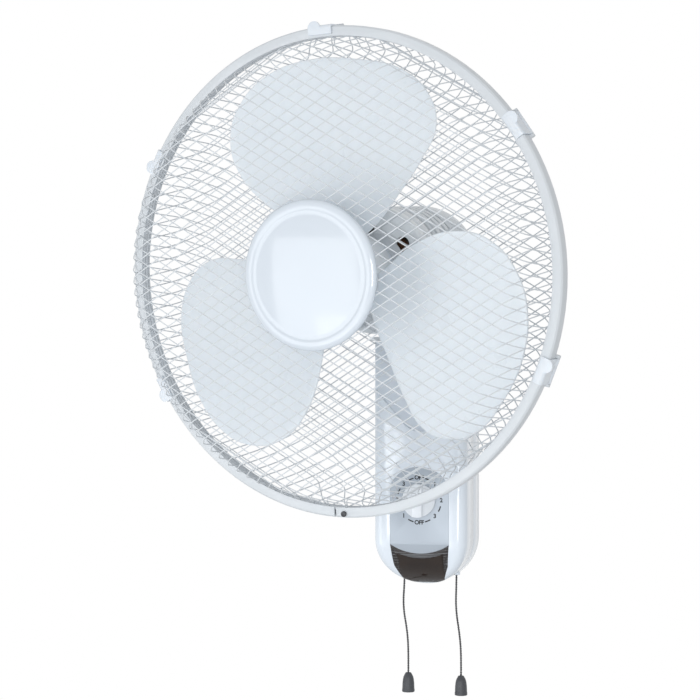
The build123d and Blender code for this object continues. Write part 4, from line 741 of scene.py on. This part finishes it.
def evenSteps(line, stepLength):
    # the line's points anew, at even steps, each with its distance along the line
    travelled = [0.0]
    for before, after in zip(line, line[1:]):
        travelled.append(travelled[-1] + (after - before).length)
    steps = int(travelled[-1] / stepLength)
    centre, index = [], 0
    for step in range(steps + 1):
        along = travelled[-1] * step / steps
        while index < len(line) - 2 and travelled[index + 1] < along:
            index += 1
        share = (along - travelled[index]) / max(travelled[index + 1] - travelled[index], 1e-9)
        centre.append((along, line[index].lerp(line[index + 1], share)))
    return centre


def twistedCord(name, line):
    # strands laid round each other
    strandRadius = cordFacts["diameter"] * mm * cordFacts["strandShare"]
    curve = newCurve(name, strandRadius)
    centre = evenSteps(line, cordFacts["step"] * mm)
    for strand in range(cordFacts["strands"]):
        spline = curve.splines.new("POLY")
        spline.points.add(len(centre) - 1)
        for place, (along, point) in zip(spline.points, centre):
            angle = 2 * math.pi * (along / (cordFacts["lay"] * mm) + strand / cordFacts["strands"])
            around = Vector((math.cos(angle), math.sin(angle), 0)) * strandRadius * cordFacts["squash"]
            place.co = (*(point + around), 1)
    return meshOfCurve(name, curve)


def bellPiece(name, top):
    r, length = cordFacts["bellRadius"], cordFacts["bellLength"]
    outline = [(0.9, -1.2), (0.9, 0), (2.2, 0.0), (3.0, -0.6), (3.3, -1.5), (3.9, -2.4), (4.7, -4.2),
               (5.25, -6.7), (5.6, -10), (5.75, -14), (5.8, -length + 3), (r, -length + 2.6),
               (r, -length + 0.4), (r - 0.5, -length), (r - 1.6, -length), (r - 1.7, -length + 4),
               (0, -length + 5.5), (0, -1.2)]
    piece = spunPiece(name, outline, 48)
    softenEdges(piece, 0.25 * mm, sharp=40)
    piece.data.transform(Matrix.Translation(top))
    smooth(piece, 45)
    return piece


for pullName, route in cordRoutes.items():
    line = routeLine(route)
    bell = bellPiece(pullName + "_pull", Vector(route[-1]) * mm)
    settle(bell, pullName + "_pull", bellGrey, pullName + "_pull", (pullName + "_bell",))
    cord = twistedCord(pullName + "_twist", line)
    smooth(cord, 60)
    settle(cord, pullName + "_twist", cordGrey, pullName + "_pull", (pullName + "_cord",))
print("pull cords hung")

# dial lettering and ticks, printed on the panel
printing = {"centre": (0.0, -75.1), "radius": 20.9, "depth": 84.0, "letter": 5.4, "bold": 0.2, "raised": 0.06,
            "wordSpacing": 0.92, "bar": 1.15, "barSweep": 15, "barSteps": 8,
            "marks": (("OFF", 270), ("3", 315), ("2", 0), ("1", 45), ("OFF", 90), ("3", 135), ("2", 180),
                      ("1", 225))}


def onPanel(radius, angle):
    # a point round the dial, on the panel's face, in metres
    a = math.radians(angle)
    return ((printing["centre"][0] + radius * math.cos(a)) * mm, -printing["depth"] * mm,
            (printing["centre"][1] + radius * math.sin(a)) * mm)


def printedMark(text, angle):
    bpy.ops.object.text_add(location=onPanel(printing["radius"], angle), rotation=(math.radians(90), 0, 0))
    piece = bpy.context.object
    piece.data.body = text
    piece.data.size = printing["letter"] * mm
    piece.data.align_x = "CENTER"
    piece.data.align_y = "CENTER"
    piece.data.extrude = printing["raised"] * mm
    piece.data.offset = printing["bold"] * mm
    if len(text) > 1:
        piece.data.space_character = printing["wordSpacing"]
    pick(piece)
    bpy.ops.object.convert(target="MESH")
    piece = bpy.context.object
    bakePlace(piece)
    return piece


def printedBar(angle, sweep):
    # a short arc between two marks
    half, steps = printing["bar"] / 2, printing["barSteps"]
    points = [onPanel(radius, angle - sweep / 2 + sweep * step / steps) for step in range(steps + 1)
              for radius in (printing["radius"] - half, printing["radius"] + half)]
    faces = [(2 * step, 2 * step + 1, 2 * step + 3, 2 * step + 2) for step in range(steps)]
    piece = meshPiece("bar", points, (), faces)
    applyModifier(piece, "SOLIDIFY", thickness=2 * printing["raised"] * mm, offset=0)
    return piece


inked = [printedMark(text, angle) for text, angle in printing["marks"]]
marksApart = 360 / len(printing["marks"])
for number in range(len(printing["marks"])):
    inked.append(printedBar(marksApart * (number + 0.5), printing["barSweep"]))
dialPrint = joinPieces(inked)
settle(dialPrint, "dial_print", inkBlack, "column")
print("dial printed")

# floor and light
stage = {"floorHeight": -0.62, "floorSize": 2.4, "worldLight": 0.54, "skyTint": (0.965, 0.985, 1.0)}
bpy.ops.mesh.primitive_circle_add(vertices=96, radius=stage["floorSize"] / 2, fill_type="NGON",
                                  location=(0, -0.15, stage["floorHeight"]))
floor = bpy.context.object
floor.name = "floor"


def paleFloor():
    material, tree, shader = newFinish("paleFloor")
    tree.links.new(colourBetween(tree, objectNoise(tree, 3), (0.90, 0.905, 0.91), (0.93, 0.935, 0.94)),
                   shader.inputs["Base Color"])
    shader.inputs["Roughness"].default_value = 0.7
    return material


floor.data.materials.append(paleFloor())

# white where the camera or a reflection looks, and a plain pale sky for the light on the object
world = bpy.data.worlds.new("studio")
bpy.context.scene.world = world
world.use_nodes = True
worldTree = world.node_tree
backdrop = worldTree.nodes["Background"]
backdrop.inputs["Color"].default_value = (1, 1, 1, 1)
backdrop.inputs["Strength"].default_value = 1.0
roomLight = addNode(worldTree, "ShaderNodeBackground", Color=(*stage["skyTint"], 1),
                    Strength=stage["worldLight"])
rays = addNode(worldTree, "ShaderNodeLightPath")
reflected = mathNode(worldTree, "MAXIMUM", rays.outputs["Is Glossy Ray"], rays.outputs["Is Transmission Ray"])
seen = mathNode(worldTree, "MAXIMUM", rays.outputs["Is Camera Ray"], reflected)
mixed = addNode(worldTree, "ShaderNodeMixShader")
worldTree.links.new(seen, mixed.inputs["Fac"])
worldTree.links.new(roomLight.outputs[0], mixed.inputs[1])
worldTree.links.new(backdrop.outputs[0], mixed.inputs[2])
worldTree.links.new(mixed.outputs[0], worldTree.nodes["World Output"].inputs["Surface"])

lamps = (  # name, place, size, power, tint
    ("frontLight", (0.30, -2.1, 0.0), 0.6, 11.5, (0.99, 0.995, 1.0)),
    ("keyLight", (-1.3, -1.6, -0.2), 1.2, 8.5, (0.98, 0.99, 1.0)),
    ("rightLight", (1.5, -1.2, 0.5), 1.2, 1.0, (1.0, 1.0, 1.0)),
    ("topLight", (0.1, -0.3, 1.7), 1.2, 1.0, (1.0, 1.0, 1.0)),
    ("lowLight", (-0.5, -1.2, -0.7), 0.9, 3.0, (0.99, 0.995, 1.0)),
)
lampTarget = Vector((-0.02, -0.15, 0.1))
for lampName, place, size, power, tint in lamps:
    aim = lampTarget - Vector(place)
    bpy.ops.object.light_add(type="AREA", location=place, rotation=aim.to_track_quat("-Z", "Y").to_euler())
    lamp = bpy.context.object
    lamp.name = lampName
    lamp.data.size = size
    lamp.data.energy = power
    lamp.data.color = tint

bpy.context.scene.view_settings.view_transform = "Standard"
print("stage lit")
